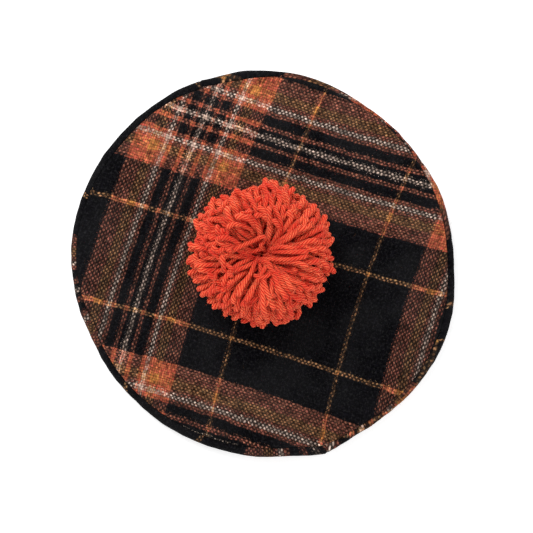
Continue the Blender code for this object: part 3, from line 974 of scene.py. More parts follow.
def yarn_material(name, lit, painted_groove_shade, root=0.0):
    """Plied wool yarn, with painted light and shade: the colour passes from lit on the plies' crests to the painted
    groove shade in the grooves between them. The map yarn holds the turn round the strand and the length along it.
    The painted shade deepens towards the strand's hidden end, inside the pompom, over the length root."""
    material, tree, shader = new_material(name, 0.85, sheen=0.10, specular=0.08)
    shader.inputs["Sheen Tint"].default_value = (1.0, 0.50, 0.36, 1.0)
    shader.inputs["Subsurface Weight"].default_value = 0.25
    shader.inputs["Subsurface Radius"].default_value = (1.0, 0.30, 0.20)
    shader.inputs["Subsurface Scale"].default_value = 0.0025
    places = add_node(tree, "ShaderNodeUVMap", uv_map="yarn").outputs[0]
    parts = add_node(tree, "ShaderNodeSeparateXYZ", {0: places}).outputs
    turned = sums(tree, "MULTIPLY_ADD", parts[0], PLIES, sums(tree, "MULTIPLY", parts[1], PLIES / PLY_PITCH))
    ply = sums(tree, "SINE", sums(tree, "MULTIPLY", sums(tree, "FRACT", turned), math.pi))
    body = object_place(tree)
    blotch = ranged(tree, noise(tree, body, BLOTCH_SCALE, 2.0), *MIDDLE, *BLOTCH_SHADE)
    fine = noise(tree, body, FINE_SCALE, 3.0, 0.7)
    # Painted shade: the colour passes to the painted groove shade in the grooves between the plies
    groove = ranged(tree, ply, 0.1, 1.0, 0.0, 1.0)
    factor = sums(tree, "MULTIPLY", groove, blotch)
    # Painted shade, deepening towards the strand's hidden end inside the pompom
    if root:
        factor = sums(tree, "MULTIPLY", factor, ranged(tree, parts[1], 0.2 * root, root, 0.15, 1.0))
    colour = blended(tree, factor, whole_colour(painted_groove_shade), whole_colour(lit))
    light = grey(tree, ranged(tree, fine, *WIDE_MIDDLE, *FINE_SHADE))
    feed(tree, shader.inputs["Base Color"], blended(tree, 1.0, colour, light, "MULTIPLY"))
    raise_surface(tree, shader, sums(tree, "ADD", ply, sums(tree, "MULTIPLY", fine, 0.15)), 0.8, 0.0009)
    return material


def fibre_material(name, colour):
    """Plain fine wool fibres, a little uneven in shade."""
    material, tree, shader = new_material(name, 0.8, specular=0.1)
    uneven = ranged(tree, noise(tree, object_place(tree), 60.0), *MIDDLE)
    dark = tuple(0.55 * part for part in colour)
    feed(tree, shader.inputs["Base Color"], blended(tree, uneven, whole_colour(dark), whole_colour(colour)))
    return material


def solidify(item, thickness):
    """Give an open sheet its thickness on the inner side."""
    wall = item.modifiers.new("thickness", "SOLIDIFY")
    wall.thickness = thickness
    wall.offset = -1.0
    wall.use_even_offset = True


def finish_piece(item, material, slot, *nodes):
    """Dress a piece, ride it on the one body and let it stand for CAD nodes."""
    item.data.materials.clear()
    item.data.materials.append(material)
    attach(item, "root")
    if nodes:
        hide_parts(*nodes)
    return item


def seen_from_camera(points):
    """Where the camera's lines of sight through points meet the level of the shoulder, as x and y in lay radii."""
    camera = np.array(CAMERA_PLACE)
    lift = (camera[2] - SHOULDER) / (camera[2] - points[..., 2:3])
    return (camera[:2] + (points[..., :2] - camera[:2]) * lift) / LAY_RADIUS


def thread_numbers(places):
    """Both thread numbers at places: a third-degree form in x and y, over the threads' pitch."""
    x, y = places[..., 0], places[..., 1]
    terms = np.stack([x, y, x * x, x * y, y * y, x**3, x * x * y, x * y * y, y**3], axis=-1)
    first = (LAY_RADIUS * terms @ np.array(FIRST_LAY) - FIRST_MIDDLE) / FIRST_PITCH
    second = (LAY_RADIUS * terms @ np.array(SECOND_LAY) - SECOND_MIDDLE) / SECOND_PITCH
    return np.stack([first, second], axis=-1)


class BERET_OT_crown_top(bpy.types.Operator):
    """Make the round tartan top panel"""

    bl_idname = "beret.crown_top"
    bl_label = "Crown Top"

    def execute(self, context):
        cloth = context.scene.beret_cloth
        share = np.linspace(0.0, 1.0, TOP_ROWS)[:, None]
        angle = crown_angles()[None, :] * np.ones((TOP_ROWS, 1))
        hole = HOLE_RADIUS + GAP
        edge = seam_radius(angle) - 0.5 * GAP
        radius = hole + (edge - hole) * (1.0 - (1.0 - share) ** TOP_ROW_EASE)
        height = crown_height(radius, angle)
        flat = rim_radius(angle) - RIM_ROLL
        lean = np.arcsin(np.clip((radius - flat) / RIM_ROLL, 0.0, 1.0))
        laid = np.where(radius > flat, flat + TOP_EASE * RIM_ROLL * lean, radius)
        puckers = ripples(angle, *TOP_PUCKERS) * np.exp(-(edge - radius) / TOP_PUCKER_FADE) * cloth.pucker
        held = np.sin(math.pi * np.clip(radius / flat, 0.0, 1.0)) ** 2
        waves = TOP_WAVE_HEIGHT * ripples(angle, *TOP_WAVES) * held
        radius_in, height_in = drawn_in(radius, height, angle, edge - radius)
        points = polar(radius_in, angle, height_in + puckers + waves)
        places = seen_from_camera(polar(radius, angle, height)) * (laid / radius)[..., None]
        faces = grid_quads(*angle.shape)[:, ::-1]
        item = mesh_object("crown_top_cloth", points, faces, [("threads", per_corner(thread_numbers(places), faces))])
        solidify(item, cloth.thickness)
        material = tartan_material("tartan_top", *TOP_TARTAN)
        finish_piece(item, material, "tartan_top", "crown_top")
        return {"FINISHED"}


def underside_sections(angle, band):
    """The underside's outer face as rows of radius and height at each angle: round the rolled rim on an ellipse,
    in under the overhang on a parabola, round a bend and up the band."""
    rim, middle = rim_radius(angle), rim_middle(angle)
    flat = rim - RIM_ROLL
    start = np.arccos((seam_radius(angle) + 0.5 * GAP - flat) / RIM_ROLL)
    share = np.linspace(0.0, 1.0, ROLL_ROWS, endpoint=False)[:, None]
    turn = start + (-0.5 * math.pi - start) * share
    spread = angle * np.ones_like(turn)
    rolled = (flat + RIM_ROLL * np.cos(turn), middle + RIM_HALF_HEIGHT * np.sin(turn))
    rolled = drawn_in(*rolled, spread, RIM_ROLL * (start - turn))
    wrap = band.radius + band.thickness + GAP + BEND_RADIUS
    lowest = middle - RIM_HALF_HEIGHT
    bend_height = band.height - band.overlap
    first_turn = np.arctan(2.0 * (bend_height - BEND_RADIUS - lowest) / (flat - wrap))
    bend_start = (wrap - BEND_RADIUS * np.sin(first_turn), bend_height - BEND_RADIUS * np.cos(first_turn))
    share = np.linspace(0.0, 1.0, PLATE_ROWS, endpoint=False)[:, None]
    plate = (flat + (bend_start[0] - flat) * share, lowest + (bend_start[1] - lowest) * share**2)
    turn = first_turn + (0.5 * math.pi - first_turn) * np.linspace(0.0, 1.0, BEND_ROWS)[:, None]
    bend = (wrap - BEND_RADIUS * np.sin(turn), bend_height - BEND_RADIUS * np.cos(turn))
    rise = np.array(UPRIGHT_SHARES)[:, None] * np.ones_like(angle)
    upright = (np.full_like(rise, wrap - BEND_RADIUS), bend_height + band.overlap * rise)
    return [np.concatenate(parts) for parts in zip(rolled, plate, bend, upright)]


class BERET_OT_crown_underside(bpy.types.Operator):
    """Make the tartan ring that rolls round the rim and runs in under the overhang to the headband"""

    bl_idname = "beret.crown_underside"
    bl_label = "Crown Underside"

    def execute(self, context):
        cloth, band = context.scene.beret_cloth, context.scene.beret_band
        angle = crown_angles()[None, :]
        radius, height = underside_sections(angle, band)
        lengths = np.hypot(np.diff(radius, axis=0), np.diff(height, axis=0))
        along = np.concatenate([np.zeros_like(angle), np.cumsum(lengths, axis=0)])
        spread = angle * np.ones_like(radius)
        run = np.stack([np.gradient(radius, axis=0), np.gradient(height, axis=0)])
        run /= np.linalg.norm(run, axis=0)
        held, fading = BAND_HOLD
        free = np.clip((along[-1:] - along - held) / fading, 0.0, 1.0)
        puckers = UNDERSIDE_PUCKER_SHARE * cloth.pucker * ripples(spread, *UNDERSIDE_PUCKERS)
        waves = UNDERSIDE_WAVE_HEIGHT * ripples(spread, *UNDERSIDE_WAVES) * free
        push = puckers * np.exp(-along / UNDERSIDE_PUCKER_FADE) + waves * np.clip(along / SEAM_HOLD, 0.0, 1.0)
        for joint in JOINTS:
            beside = turn_from(joint, np.degrees(spread)) * math.pi / 180.0 * radius
            push = push - GROOVE_DEPTH * np.exp(-((beside / GROOVE_WIDTH) ** 2)) * free
        points = polar(radius - run[1] * push, spread, height + run[0] * push)
        laid = seam_radius(angle) + UNDERSIDE_START - UNDERSIDE_EASE * along
        flat_points = polar(laid, angle, 0.0)[..., :2]
        faces = grid_quads(*radius.shape)[:, ::-1]
        numbers = []
        for way, first_steps, second_steps in UNDERSIDE_HALVES:
            ahead = np.array([math.cos(math.radians(way)), math.sin(math.radians(way))])
            beside = np.array([-ahead[1], ahead[0]])
            first = np.interp(1000.0 * flat_points @ ahead, *np.array(first_steps).T)
            second = np.interp(1000.0 * flat_points @ beside, *np.array(second_steps).T)
            numbers.append(np.stack([first, second], axis=-1))
        columns = np.arange(len(faces)) % angle.size
        turn = np.degrees(angle[0])[columns]
        left = (turn > JOINTS[0] - 0.01) & (turn < JOINTS[1] - 0.01)
        corner_numbers = np.where(
            np.repeat(left, 4)[:, None], per_corner(numbers[0], faces), per_corner(numbers[1], faces)
        )
        item = mesh_object("crown_underside_cloth", points, faces, [("threads", corner_numbers)])
        solidify(item, cloth.thickness)
        material = tartan_material("tartan_underside", *UNDERSIDE_TARTAN)
        finish_piece(item, material, "tartan_underside", "crown_underside")
        return {"FINISHED"}


class BERET_OT_headband(bpy.types.Operator):
    """Make the dark wool band round the head opening"""

    bl_idname = "beret.headband"
    bl_label = "Headband"

    def execute(self, context):
        band = context.scene.beret_band
        half = 0.5 * band.thickness
        turn = np.linspace(0.0, 2.0 * math.pi, BAND_PROFILE_STEPS, endpoint=False)
        box = np.stack([np.cos(turn), np.sin(turn)], axis=-1)
        sides = np.sign(box) * np.array([half - BAND_CORNER, 0.5 * band.height - BAND_CORNER])
        profile = sides + BAND_CORNER * box
        radius = band.radius + half + profile[:, 0][:, None]
        height = 0.5 * band.height + profile[:, 1][:, None]
        angle = round_angles(BAND_STEPS)[None, :]
        points = polar(radius * np.ones_like(angle), angle, height * np.ones_like(angle))
        rows = len(points)
        faces = grid_quads(rows + 1, BAND_STEPS) % (rows * BAND_STEPS)
        item = mesh_object("headband_wool", points, faces)
        material, tree, shader = new_material("band_wool", 0.95, sheen=0.1, specular=0.1)
        felt = noise(tree, object_place(tree), 900.0, 4.0, 0.7)
        dark = whole_colour(band.colour)
        pale = whole_colour(tuple(3.0 * part for part in band.colour))
        feed(tree, shader.inputs["Base Color"], blended(tree, ranged(tree, felt, 0.4, 0.75), dark, pale))
        raise_surface(tree, shader, felt, 0.6, 0.0006)
        finish_piece(item, material, "band_wool", "headband")
        return {"FINISHED"}


def even_directions(count, lowest, chance, uneven=1.0):
    """Unit vectors spread evenly over the part of a sphere above a height from -1 to 1, each a little off: steps of
    the golden angle round it and equal steps in height."""
    index = np.arange(count) + 0.5
    height = 1.0 - (1.0 - lowest) * index / count
    angle = index * math.pi * (3.0 - math.sqrt(5.0))
    height = np.clip(height + uneven * chance.normal(0.0, 0.025, count), lowest, 1.0)
    angle = angle + uneven * chance.normal(0.0, 0.07, count)
    level = np.sqrt(1.0 - height**2)
    return np.stack([level * np.cos(angle), level * np.sin(angle), height], axis=-1)


def strand_paths(tips, fall, reach, side, hook, start, size):
    """Paths of pompom strands, with their rings spaced by length. A strand's lean from upright grows from part of
    its tip's lean to all of it as t goes from 0 to 1, by 1 - fall * (1 - t)**1.5; its distance from the middle is
    1 - (1 - t)**2 of its reach; it bows sideways by side * t * (1 - t), its end hooks by t**4, it starts beside
    the hub, and it is kinked."""
    t = np.linspace(0.0, 1.0, FINE_RINGS)[None, :]
    lean = np.arccos(np.clip(tips[:, 2], -1.0, 1.0))[:, None]
    turn = np.arctan2(tips[:, 1], tips[:, 0])[:, None]
    bent = lean * (1.0 - fall[:, None] * (1.0 - t) ** 1.5) + hook[:, :1] * t**4
    turn = turn + side[:, None] * t * (1.0 - t) + hook[:, 1:] * t**4
    out = HUB_SHARE + (reach[:, None] - HUB_SHARE) * (1.0 - (1.0 - t) ** 2)
    high = size.rise * out * np.cos(bent)
    low = POMPOM_CENTRE[2] - POMPOM_BASE - BASE_ROOM * size.yarn
    high = np.where(high < -low, -low + PRESSED * (high + low), high)
    hub = (np.array(HUB_SHIFT) + start)[:, None, :] * ((1.0 - t) ** 1.2)[..., None]
    rings = ringed(POMPOM_CENTRE + polar(size.radius * out * np.sin(bent), turn, high) + hub)
    kinks = np.random.default_rng(len(tips)).normal(0.0, STRAND_KINK, rings.shape)
    kinks[:, -len(STRAND_ENDS) :] = 0.0
    return rings + kinks


def ringed(paths):
    """A strand's rings along each finely drawn path: at STRAND_SHARES of its length, then STRAND_ENDS before its
    end."""
    along = lengths_along(paths)
    whole = along[:, -1:]
    rings = np.concatenate([whole * np.array(STRAND_SHARES), whole - np.array(STRAND_ENDS)], axis=1)
    placed = [
        [np.interp(here, length, values) for values in path.T] for here, length, path in zip(rings, along, paths)
    ]
    return np.moveaxis(np.array(placed), 1, 2)


def curve_through(places, count):
    """Evenly spaced places on a smooth curve through the given ones: a cubic between each two, whose slope at a
    place is half the chord between its neighbours."""
    places = np.array(places, float)
    wide = np.concatenate([2.0 * places[:1] - places[1:2], places, 2.0 * places[-1:] - places[-2:-1]])
    along = np.linspace(0.0, len(places) - 1.0, count)
    here = np.minimum(along.astype(int), len(places) - 2)
    t = (along - here)[:, None]
    before, first, second, after = (wide[here + step] for step in range(4))
    return cubic(first, second, 0.5 * (second - before), 0.5 * (after - first), t)


def tangled_to_combed(chance, ranges, combed):
    """Values drawn from a range for tangled strands and from one for combed strands, mixed by combed."""
    tangled_range, combed_range = ranges
    tangled = chance.uniform(*tangled_range, len(combed))
    return tangled * (1.0 - combed) + chance.uniform(*combed_range, len(combed)) * combed


def under_loss(lean):
    """What is left of a strand's fall, from 1 near the top to less for strands that point down."""
    return 1.0 - UNDER_LOSS * ranged_array(lean, *UNDER_LEANS)


def shaded_yarn(size, share):
    """Painted shade: the yarn's colour on its crests, darkened by a share of the painted groove shade."""
    return tuple(share * painted_groove_shade + (1.0 - share) * lit for painted_groove_shade, lit in zip(size.painted_groove_shade, size.lit))


class BERET_OT_pompom(bpy.types.Operator):
    """Make the pompom's strands of plied yarn, which rise from a hub and fall outwards"""

    bl_idname = "beret.pompom"
    bl_label = "Pompom"

    def execute(self, context):
        size = context.scene.beret_pompom
        chance = np.random.default_rng(POMPOM_SEED)
        count = size.strands
        tips = even_directions(count, LOWEST_TIP, chance)
        locks = even_directions(int(LOCK_SHARE * count), LOWEST_LOCK, chance, LOCK_UNEVENNESS)
        nearest = locks[np.argmax(tips @ locks.T, axis=1)]
        tips = unit(tips + (nearest - tips) * chance.uniform(0.0, MOST_GATHERED, (count, 1)))
        lean = np.arccos(tips[:, 2])
        turn = np.arctan2(tips[:, 1], tips[:, 0])
        combed = COMBED[0] + COMBED[1] * ranged_array(np.cos(turn + COMBED_WAY), *COMBED_TURN)
        least = LEAST_LEAN[0] + LEAST_LEAN[1] * combed
        lean = np.where(lean < TOP_LEAN, least + (TOP_LEAN - least) * lean / TOP_LEAN, lean)
        beside = (turn - math.radians(PARTING) + math.pi) % (2.0 * math.pi) - math.pi
        parted = PARTING_TURN * np.sign(beside) * np.exp(-((beside / PARTING_WIDTH) ** 2))
        turn = turn + parted * (lean < PARTING_LEAN)
        fall = tangled_to_combed(chance, FALLS, combed) * under_loss(lean)
        reach = tangled_to_combed(chance, REACHES, combed)
        tip_turns, away = np.array(EDGE_TIPS).T
        outline = 0.001 * np.interp(np.degrees(turn), tip_turns, away, period=360.0) / size.radius
        near_edge = outline * chance.uniform(*EDGE_SHARES, count) / np.maximum(np.sin(lean), LEAST_LEVEL)
        reach = reach + ranged_array(lean, *EDGE_LEANS) * (near_edge - reach)
        calm = 1.0 - CALMED * combed
        side = chance.normal(0.0, SIDE_BOW, count) * calm
        hook = chance.normal(0.0, END_HOOK, (count, 2)) * calm[:, None]
        start = chance.normal(0.0, 1.0, (count, 3)) * HUB_SPREAD
        centres = strand_paths(directions(lean, turn), fall, reach, side, hook, start, size)
        count = len(tip_turns)
        lean = chance.uniform(*OUTLINE_LEANS, count)
        reach = 0.001 * away / size.radius / np.sin(lean)
        fall = chance.uniform(*OUTLINE_FALLS, count)
        side = chance.normal(0.0, OUTLINE_BOW, count)
        start = chance.normal(0.0, 1.0, (count, 3)) * HUB_SPREAD
        tips = directions(lean, np.radians(tip_turns))
        edge_centres = strand_paths(tips, fall, reach, side, np.zeros((count, 2)), start, size)
        centres = np.concatenate([centres, edge_centres])
        radii = size.yarn * STRAND_WIDTHS[None, :] * chance.uniform(*WIDTH_CHANGES, (len(centres), 1))
        material = yarn_material("pompom_plies", size.lit, size.painted_groove_shade, root=ROOT_SHADE_LENGTH)
        finish_piece(tubes("pompom_strands", centres, radii, STRAND_SIDES), material, "pompom_yarn", "pompom")
        return {"FINISHED"}


class BERET_OT_pompom_inside(bpy.types.Operator):
    """Make the short strands that fill the pompom below the long ones"""

    bl_idname = "beret.pompom_inside"
    bl_label = "Pompom Inside"

    def execute(self, context):
        size = context.scene.beret_pompom
        chance = np.random.default_rng(INSIDE_SEED)
        count = size.strands
        tips = even_directions(count, INSIDE_LOWEST, chance, INSIDE_UNEVENNESS)
        lean = np.arccos(tips[:, 2])
        lean = np.where(lean < TOP_LEAN, INSIDE_LEAN[0] + INSIDE_LEAN[1] * lean / TOP_LEAN, lean)
        tips = directions(lean, np.arctan2(tips[:, 1], tips[:, 0]))
        fall = chance.uniform(*INSIDE_FALLS, count) * under_loss(lean)
        reach = chance.uniform(*INSIDE_REACHES, count)
        side = chance.normal(0.0, INSIDE_BOW, count)
        hook = chance.normal(0.0, INSIDE_HOOK, (count, 2))
        start = chance.normal(0.0, INSIDE_START, (count, 3))
        centres = strand_paths(tips, fall, reach, side, hook, start, size)[:, ::2]
        radii = size.yarn * STRAND_WIDTHS[None, ::2] * chance.uniform(*WIDTH_CHANGES, (count, 1))
        # Painted shade inside the pompom: the short strands' colour is darkened by a share of the groove shade
        material = yarn_material("inner_plies", shaded_yarn(size, 0.25), size.painted_groove_shade)
        strands = tubes("pompom_short_strands", centres, radii, STRAND_SIDES)
        finish_piece(strands, material, "pompom_yarn", "pompom")
        rows, columns = CORE_GRID
        tilt = np.linspace(0.0, math.pi, rows)[:, None]
        angle = round_angles(columns)[None, :]
        places = CORE_SHARE * size.radius * polar(np.sin(tilt) * np.ones_like(angle), angle, np.cos(tilt))
        places[..., 2] = np.minimum(places[..., 2], CORE_TOP)
        points = places + POMPOM_CENTRE
        points[..., 2] = np.maximum(points[..., 2], POMPOM_BASE + size.yarn)
        core = mesh_object("pompom_core", points, grid_quads(rows, columns)[:, ::-1])
        # The core of wool takes the painted groove shade as its colour, so gaps between the strands show painted shade
        finish_piece(core, fibre_material("core_wool", size.painted_groove_shade), "pompom_yarn", "pompom")
        return {"FINISHED"}


class BERET_OT_pompom_laid(bpy.types.Operator):
    """Make the strands that lie across the pompom's top"""

    bl_idname = "beret.pompom_laid"
    bl_label = "Laid Strands"

    def execute(self, context):
        size = context.scene.beret_pompom
        mesh = bpy.data.objects["pompom_strands"].data
        below = np.empty(3 * len(mesh.vertices))
        mesh.vertices.foreach_get("co", below)
        below = below.reshape(-1, 3) - POMPOM_CENTRE
        centres = []
        for places in LAID_STRANDS:
            x, y, lift = 0.001 * np.array(places, float).T
            near = np.hypot(below[:, 0] - x[:, None], below[:, 1] - y[:, None]) < 2.0 * size.yarn
            face = np.where(near, below[:, 2], 0.0).max(axis=1)
            roundness = np.sqrt(np.maximum(1.0 - (x**2 + y**2) / size.radius**2, LEAST_BALL))
            ball = np.minimum(face, BALL_RISE * size.rise * roundness)
            laid = np.stack([x, y, ball + LAID_LIFT * lift], axis=-1)
            centres.append(POMPOM_CENTRE + curve_through(laid, LAID_RINGS))
        shares = np.linspace(0.0, 1.0, LAID_RINGS)
        widths = LAID_WIDTH * size.yarn * (1.0 - LAID_TAPER * (shares < 0.01) - LAID_TAPER * (shares > 0.99))
        late, early = (LAID_SWELL * np.exp(-(((shares - place) / LAID_SWELL_WIDTH) ** 2)) for place in LAID_SWELLS)
        widths = widths * (1.0 + late + early)
        radii = widths[None, :] * np.ones((len(LAID_STRANDS), 1))
        # Painted shade on the laid strands: their colour is darkened by a share of the groove shade
        material = yarn_material("laid_plies", shaded_yarn(size, 0.2), size.painted_groove_shade)
        strands = tubes("pompom_laid_strands", np.stack(centres), radii, LAID_SIDES)
        finish_piece(strands, material, "pompom_yarn", "pompom")
        return {"FINISHED"}


def fibre_paths(roots, outwards, lengths, curl, chance, rings=5):
    """Paths of fine fibres whose lengths lie between two. Each leaves its root outwards and bends along a random
    way, by its own draw of curl times the square of its share of the length."""
    lengths = chance.uniform(*lengths, len(roots))
    curl = chance.normal(0.0, curl, len(roots))
    bend = chance.normal(0.0, 1.0, outwards.shape)
    bend = unit(bend - outwards * np.sum(bend * outwards, axis=-1, keepdims=True))
    t = np.linspace(0.0, 1.0, rings)[None, :, None]
    straight = roots[:, None, :] + outwards[:, None, :] * lengths[:, None, None] * t
    return straight + bend[:, None, :] * (lengths * curl)[:, None, None] * t**2


def thin_fibres(name, paths, radius, material, slot, node):
    """Fine fibres as three-sided tubes that taper to their ends."""
    taper = np.linspace(1.0, 0.5, paths.shape[1])
    return finish_piece(tubes(name, paths, radius * taper[None, :] * np.ones(paths.shape[:2]), 3), material, slot, node)


class BERET_OT_fibres(bpy.types.Operator):
    """Make the loose fibres on the pompom, on the cloth and along the rim"""

    bl_idname = "beret.fibres"
    bl_label = "Loose Fibres"

    def execute(self, context):
        fibres, size, cloth = context.scene.beret_fibres, context.scene.beret_pompom, context.scene.beret_cloth
        chance = np.random.default_rng(FIBRE_SEED)
        count = fibres.on_pompom
        ways = even_directions(count, POMPOM_FIBRE_LOWEST, chance, 2.0)
        face = ways * (size.radius, size.radius, BALL_RISE * size.rise)
        roots = POMPOM_CENTRE + face * chance.uniform(*POMPOM_FIBRE_ROOTS, (count, 1))
        outwards = unit(ways + chance.normal(0.0, POMPOM_FIBRE_STRAY, (count, 3)))
        paths = fibre_paths(roots, outwards, POMPOM_FIBRES, FIBRE_CURL, chance)
        fuzz = fibre_material("yarn_fuzz", size.lit)
        thin_fibres("pompom_fuzz", paths, fibres.radius, fuzz, "pompom_yarn", "pompom")
        count = fibres.on_cloth
        angle = chance.uniform(0.0, 2.0 * math.pi, count)
        radius = CLOTH_FIBRE_EDGE * seam_radius(angle) * np.sqrt(chance.uniform(*CLOTH_FIBRE_SPREAD, count))
        roots = polar(radius, angle, crown_height(radius, angle) - cloth.thickness)
        turn = chance.uniform(0.0, 2.0 * math.pi, count)
        outwards = polar(np.ones(count), turn, chance.uniform(*CLOTH_FIBRE_RISE, count))
        paths = fibre_paths(roots, outwards, CLOTH_FIBRES, CLOTH_FIBRE_CURL, chance, 6)
        ground = crown_height(np.hypot(paths[..., 0], paths[..., 1]), np.arctan2(paths[..., 1], paths[..., 0]))
        paths[..., 2] = np.maximum(paths[..., 2], ground - cloth.thickness)
        pale = chance.uniform(0.0, 1.0, count) < WARM_SHARE
        dark = fibre_material("dark_fuzz", fibres.dark)
        thin_fibres("dark_fuzz", paths[~pale], fibres.radius, dark, "tartan_top", "crown_top")
        warm = fibre_material("warm_fuzz", tuple(WARM_SHADE * part for part in cloth.line))
        thin_fibres("warm_fuzz", paths[pale], fibres.radius, warm, "tartan_top", "crown_top")
        count = fibres.on_rim
        angle = chance.uniform(0.0, 2.0 * math.pi, count)
        lean = chance.uniform(*RIM_FIBRE_LEANS, count)
        flat = rim_radius(angle) - RIM_ROLL
        depth = 1.0 - cloth.thickness / RIM_ROLL
        reach, lift = depth * RIM_ROLL * np.cos(lean), depth * RIM_HALF_HEIGHT * np.sin(lean)
        roots = polar(flat + reach, angle, rim_middle(angle) + lift)
        outwards = polar(np.cos(lean), angle, np.sin(lean)) + chance.normal(0.0, RIM_FIBRE_STRAY, (count, 3))
        paths = fibre_paths(roots, unit(outwards), RIM_FIBRES, FIBRE_CURL, chance)
        thin_fibres("rim_fuzz", paths, fibres.radius, dark, "tartan_underside", "crown_underside")
        return {"FINISHED"}


class BERET_OT_pompom_tie(bpy.types.Operator):
    """Make the yarn that ties the pompom on: a stem through the top panel and a flat knot below it"""

    bl_idname = "beret.pompom_tie"
    bl_label = "Pompom Tie"

    def execute(self, context):
        size, tie = context.scene.beret_pompom, context.scene.beret_tie
        material = bpy.data.materials["pompom_plies"]
        middle = SEAT_HEIGHT - tie.depth_below
        height = np.linspace(middle, SEAT_HEIGHT + tie.depth_above, 12)
        stems = []
        for side in (0.0, math.pi):
            turn = side + (height - middle) / (0.35 * PLY_PITCH)
            wide = 0.5 * tie.radius
            stems.append(np.stack([wide * np.cos(turn), wide * np.sin(turn), height], axis=-1))
        thick = 0.5 * tie.radius * np.ones((2, len(height)))
        finish_piece(tubes("tie_stem", np.stack(stems), thick, 8), material, "tie_yarn", "pompom_tie")
        turn = np.linspace(0.0, 4.0 * math.pi, 97)
        wide = tie.knot_radius - tie.yarn
        radius = wide * (0.62 + 0.38 * np.cos(1.5 * turn))
        level = middle - 0.5 * tie.knot_height + (0.5 * tie.knot_height - tie.yarn) * np.sin(1.5 * turn)
        path = polar(radius, turn, level)[None]
        knot = tubes("tie_knot", path, tie.yarn * np.ones(path.shape[:2]), 8)
        finish_piece(knot, material, "tie_yarn", "pompom_tie")
        return {"FINISHED"}


class BERET_OT_band_stitches(bpy.types.Operator):
    """Make the slanted stitches that hold the underside to the headband"""

    bl_idname = "beret.band_stitches"
    bl_label = "Band Stitches"

    def execute(self, context):
        band, cloth = context.scene.beret_band, context.scene.beret_cloth
        count = band.stitches
        angle = round_angles(count)[:, None]
        t = np.linspace(0.0, 1.0, len(STITCH_WIDTHS))[None, :]
        outside = band.radius + band.thickness + GAP + band.stitch_radius
        radius = outside + cloth.thickness * (1.0 - t) ** 0.5 * (t < 0.99)
        slant = STITCH_SLANT * 2.0 * math.pi / count
        height = band.height - STITCH_DEPTH + STITCH_RISE * t
        centres = polar(radius * np.ones_like(angle), angle + slant * t, height * np.ones_like(angle * t))
        radii = band.stitch_radius * np.array(STITCH_WIDTHS)[None, :] * np.ones((count, 1))
        material = fibre_material("stitch_thread", band.colour)
        finish_piece(tubes("band_stitches", centres, radii, 6), material, "band_wool", "headband")
        return {"FINISHED"}


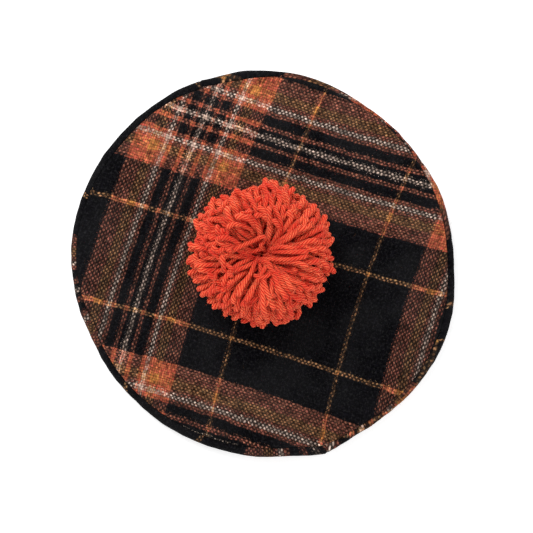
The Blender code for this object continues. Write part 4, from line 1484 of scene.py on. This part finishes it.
class BERET_OT_stage(bpy.types.Operator):
    """Make the pale floor, the soft light and the camera straight above"""

    bl_idname = "beret.stage"
    bl_label = "Stage"

    def execute(self, context):
        stage = context.scene.beret_stage
        scene = context.scene
        lines = FLOOR_STEPS + 1
        places = np.linspace(-FLOOR_REACH, FLOOR_REACH, lines)
        x, y = np.meshgrid(places, places, indexing="ij")
        row, column = np.meshgrid(np.arange(FLOOR_STEPS), np.arange(FLOOR_STEPS), indexing="ij")
        corner = row * lines + column
        faces = np.stack([corner, corner + lines, corner + lines + 1, corner + 1], axis=-1).reshape(-1, 4)
        floor = mesh_object("floor", np.stack([x, y, np.zeros_like(x)], axis=-1), faces)
        material, tree, shader = new_material("floor_paper", 0.9, specular=0.1)
        pale = whole_colour(stage.floor)
        dim = whole_colour(tuple(0.985 * part for part in stage.floor))
        feed(tree, shader.inputs["Base Color"], blended(tree, noise(tree, object_place(tree), 40.0), dim, pale))
        shader.inputs["Emission Color"].default_value = (1.0, 1.0, 1.0, 1.0)
        shader.inputs["Emission Strength"].default_value = FLOOR_GLOW
        floor.data.materials.append(material)
        world = bpy.data.worlds.new("studio")
        world.use_nodes = True
        background = world.node_tree.nodes["Background"]
        background.inputs["Color"].default_value = (1.0, 1.0, 1.0, 1.0)
        background.inputs["Strength"].default_value = stage.sky
        scene.world = world
        for name, place, width, share in LIGHTS:
            lamp = bpy.data.lights.new(name, "AREA")
            lamp.shape = "DISK"
            lamp.size = width
            lamp.energy = share * stage.key
            item = bpy.data.objects.new(name, lamp)
            item.location = place
            item.rotation_euler = (Vector(LIT_PLACE) - Vector(place)).to_track_quat("-Z", "Y").to_euler()
            scene.collection.objects.link(item)
        camera = bpy.data.cameras.new("camera")
        camera.lens = CAMERA_LENS
        camera.sensor_width = CAMERA_SENSOR
        item = bpy.data.objects.new("camera", camera)
        item.location = CAMERA_PLACE
        scene.collection.objects.link(item)
        scene.camera = item
        scene.view_settings.view_transform = "Standard"
        return {"FINISHED"}


OPERATORS = (
    BERET_OT_stage,
    BERET_OT_crown_top,
    BERET_OT_crown_underside,
    BERET_OT_headband,
    BERET_OT_pompom,
    BERET_OT_pompom_inside,
    BERET_OT_pompom_laid,
    BERET_OT_pompom_tie,
    BERET_OT_band_stitches,
    BERET_OT_fibres,
)
GROUPS = {
    "beret_cloth": BeretClothProperties,
    "beret_band": BeretBandProperties,
    "beret_pompom": BeretPompomProperties,
    "beret_tie": BeretTieProperties,
    "beret_fibres": BeretFibreProperties,
    "beret_stage": BeretStageProperties,
}


class BERET_PT_panel(bpy.types.Panel):
    """The beret's sizes, colours and pieces"""

    bl_idname = "BERET_PT_panel"
    bl_label = "Pompom Beret"
    bl_space_type = "VIEW_3D"
    bl_region_type = "UI"
    bl_category = "Beret"

    def draw(self, context):
        for attribute, group in GROUPS.items():
            box = self.layout.box()
            values = getattr(context.scene, attribute)
            for name in group.__annotations__:
                box.prop(values, name)
        for operator in OPERATORS:
            self.layout.operator(operator.bl_idname)


def register():
    """Register the classes and put their values on the scene."""
    for group in (*GROUPS.values(), *OPERATORS, BERET_PT_panel):
        bpy.utils.register_class(group)
    for attribute, group in GROUPS.items():
        setattr(bpy.types.Scene, attribute, bpy.props.PointerProperty(type=group))


def unregister():
    """Take the values and classes away again."""
    for attribute in GROUPS:
        delattr(bpy.types.Scene, attribute)
    for group in (BERET_PT_panel, *reversed(OPERATORS), *GROUPS.values()):
        bpy.utils.unregister_class(group)


def main():
    """Register the classes and make every piece in order."""
    register()
    bpy.ops.beret.stage()
    bpy.ops.beret.crown_top()
    bpy.ops.beret.crown_underside()
    bpy.ops.beret.headband()
    bpy.ops.beret.pompom()
    bpy.ops.beret.pompom_inside()
    bpy.ops.beret.pompom_laid()
    bpy.ops.beret.pompom_tie()
    bpy.ops.beret.band_stitches()
    bpy.ops.beret.fibres()


if __name__ == "__main__":
    main()
